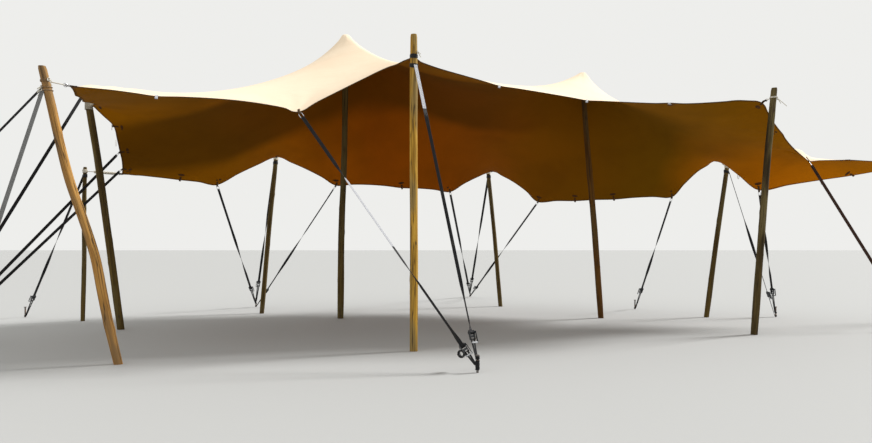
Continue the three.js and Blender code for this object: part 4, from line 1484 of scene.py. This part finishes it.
def add_top(piece, name, guy, start, down, axle):
    """How a guy holds on at its top, and the point where the plain strap starts"""
    if isinstance(guy[2], tuple):
        add_pole_top(piece, name, guy[2], down)
        return start
    add_link(piece, start + down * LINK_FROM_HEM, down, axle)
    add_tab(piece, HOLDS[guy[2]], down, LINK_TAB_REACH)
    return start + down * (LINK_LENGTH + EYE_FROM_LINK)


def add_strap(piece, name, head, spool, axle):
    """The long strap, with a stretch painted pale as a highlight where the sun glints on it"""
    shape = strap(head, spool, axle, STRAP_WIDTH, STRAP_STEPS, TWISTS.get(name, USUAL_TWIST))
    first = len(piece.faces)
    piece.add(shape, OTHER_WEBBING.get(name, black_webbing))
    if name in GLINT_STRETCHES:
        sides = len(flat_outline(STRAP_WIDTH, STRAP_THICKNESS))
        start, end = [first + sides * int(share * (STRAP_STEPS - 1)) for share in GLINT_STRETCHES[name]]
        piece.repaint(start, end, pale_and_glint_webbing)


def add_sewn_eye(piece, head, down, axle):
    """The strap's end, turned back through the link and sewn down"""
    doubled = head + np.cross(down, axle) * (STRAP_THICKNESS + 0.0008)
    piece.add(strap(doubled, doubled + down * SEWN_LENGTH, axle, STRAP_WIDTH - 0.004), black_webbing)

# %% [markdown]
# ## A guy's foot
# The loop below the ratchet ends in turns round the stake, two or three layers of them. The front low guy
# also has its spare end, rolled up.

# %% A guy's foot
def add_tail(piece, place):
    """The spare end, rolled up, with two flat turns that keep it shut"""
    x, y, z = TAIL_PLACE
    piece.add(spiral((x, y, z), *TAIL_RADII, TAIL_TURNS, 96, TAIL_WIDTH), black_webbing, place)
    half, reach, radius = TAIL_TIE
    for level in (z - reach, z + reach):
        outline = long_hole_outline((x - half, level), (x + half, level), radius, 5)
        piece.add(plate(outline, TAIL_WIDTH + 0.004, y), black_webbing, place)


def add_turns(piece, base, height, thickness, toward):
    """Webbing wound round a stake in layers of turns, each a little askew"""
    count = round(height / LEG_WIDTH)
    for layer in range(int(thickness / WEBBING_LAYER)):
        radius = STAKE_RADIUS + layer * WEBBING_LAYER
        for turn in range(count):
            spot = base + UP * ((turn + 0.5) / count - 0.5) * (height - LEG_WIDTH * 0.3)
            tilt = TURN_TILT * (-1) ** (turn + layer)
            piece.add(band_round(spot, radius, LEG_WIDTH, TURN_THICKNESS, tilt, toward), black_webbing)


def add_stake_loop(piece, name, guy_place, start, base, foot):
    """The endless loop of narrow webbing from the crossbar to the stake"""
    down, axle = guy_place[:3, 0], guy_place[:3, 1]
    bar = guy_place[:3, 3] + down * (CROSSBAR_X + 0.004)
    wrap = long_hole_outline((CROSSBAR_X - 0.0005, 0), (CROSSBAR_X + 0.0005, 0), 0.0085)
    for side in (-1, 1):
        end = foot + levelled(axle) * side * LEG_FOOT_PLACE
        piece.add(strap(bar + axle * side * LEG_PLACE, end, axle, LEG_WIDTH, 10), black_webbing)
        piece.add(plate(wrap, LEG_WIDTH, side * LEG_PLACE), black_webbing, guy_place)
    add_turns(piece, base, *WOUND.get(name, USUAL_LOOP), levelled(start - base))

# %% [markdown]
# ## Make every guy
# One function puts a guy together. Two levers ride on bodies of their own. The others don't move here, so
# they are part of their guys.

# %% Make every guy
def make_guy(name, guy):
    start, base, foot = guy_ends(name, *guy)
    reach, roll = REACHES.get(name, USUAL_REACH), ROLLS.get(name, 0.0)
    place = guy_frame(start, foot, reach, roll)
    down, axle = place[:3, 0], place[:3, 1]
    piece = Piece()
    head = add_top(piece, name, guy, start, down, axle)
    spool = place[:3, 3] + down * (SPOOL_X - SPOOL_RADIUS)
    add_strap(piece, name, head, spool, axle)
    if isinstance(guy[2], str):
        add_sewn_eye(piece, head, down, axle)
    add_stake_loop(piece, name, place, start, base, foot)
    add_ratchet(piece, place)
    if name == "guy_front_low":
        add_tail(piece, guy_frame(start, foot, reach, 0.0))
    if name not in LEVER_BODIES:
        add_lever(piece, place)
    piece.make(name.replace("guy", "strap"), replaces=(name,))
    if name in LEVER_BODIES:
        lever = Piece()
        add_lever(lever, place)
        node = name.replace("guy", "ratchet_lever")
        lever.make(name.replace("guy", "lever"), LEVER_BODIES[name], (node,), WORN_EDGE)


for name, guy in GUYS.items():
    make_guy(name, guy)
print("guys:", len(GUYS))

# %% [markdown]
# ## Stakes
# A stake is a round steel bar with a head that the hammer has spread. Only its top shows, from z = 0 up. It
# is a profile turned round the axis.

# %% Stakes
STAKE_PROFILE = [
    (0.0138, 0.0), (0.0139, 0.09), (0.0137, 0.186), (0.0165, 0.189), (0.0225, 0.192),
    (0.0238, 0.1965), (0.0229, 0.2015), (0.018, 0.2042), (0.009, 0.2046),
]
STAKE_SIDES = 24
STAKE_NODES = sorted(name for name in nodes if name.startswith("stake_"))


def turned(profile, sides):
    """A profile of radius and height turned round the upright axis"""
    angles = around(sides)
    rings = [np.column_stack([r * np.cos(angles), r * np.sin(angles), angles * 0 + z]) for r, z in profile]
    points = np.concatenate(rings)
    return points, tube_faces(len(profile), sides), points


def make_stake(node):
    low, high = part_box(node)
    place = np.eye(4)
    place[:3, 3] = ((low.x + high.x) / 2, (low.y + high.y) / 2, 0)
    stake = Piece()
    stake.add(turned(STAKE_PROFILE, STAKE_SIDES), stake_steel, place)
    stake.make(node.replace("stake", "peg"), replaces=(node,))


for node in STAKE_NODES:
    make_stake(node)
print("stakes:", len(STAKE_NODES))

# %% [markdown]
# ## Floor and light
# A plain pale floor reaches far back, so that it meets the pale background near the horizon. The key light
# comes from high on the right and a little behind. A tent is too long for an area lamp near it, which would
# bleach the near end, so this is a sun lamp with a wide soft disc. A weak broad lamp at the front left and a
# pale background fill the shade.

# %% Floor and light
FLOOR_HALF = 90.0
LIT_SPOT = Vector((0, 0, 2))
BACKGROUND = (0.9, 0.9, 0.88, 1)
BACKGROUND_STRENGTH = 0.95
KEY_PLACE = (17, 7, 16)
KEY_STRENGTH = 4.3
KEY_DEGREES = 14
FILL_PLACE = (-14, -16, 9)
FILL_WATTS = 350
FILL_SIZE = 12


def make_floor():
    mesh = bpy.data.meshes.new("floor")
    signs = ((-1, -1), (1, -1), (1, 1), (-1, 1))
    mesh.from_pydata([(x * FLOOR_HALF, y * FLOOR_HALF, 0) for x, y in signs], [], [(0, 1, 2, 3)])
    mesh.materials.append(Finish("floor").set(base_color=(0.38, 0.38, 0.37), roughness=0.9))
    floor = bpy.data.objects.new("floor", mesh)
    bpy.context.scene.collection.objects.link(floor)


def add_lamp(name, kind, place, power, size):
    """A lamp that shines on the tent: an area lamp's size is in metres, a sun's in degrees across the sky"""
    data = bpy.data.lights.new(name, kind)
    data.energy = power
    if kind == "SUN":
        data.angle = math.radians(size)
    else:
        data.size = size
    lamp = bpy.data.objects.new(name, data)
    lamp.location = place
    lamp.rotation_euler = (LIT_SPOT - Vector(place)).to_track_quat("-Z", "Y").to_euler()
    bpy.context.scene.collection.objects.link(lamp)


make_floor()
add_lamp("key", "SUN", KEY_PLACE, KEY_STRENGTH, KEY_DEGREES)
add_lamp("fill", "AREA", FILL_PLACE, FILL_WATTS, FILL_SIZE)
world = bpy.data.worlds.new("studio")
world.use_nodes = True
background = world.node_tree.nodes["Background"]
background.inputs["Color"].default_value = BACKGROUND
background.inputs["Strength"].default_value = BACKGROUND_STRENGTH
bpy.context.scene.world = world
bpy.context.scene.view_settings.view_transform = "Standard"
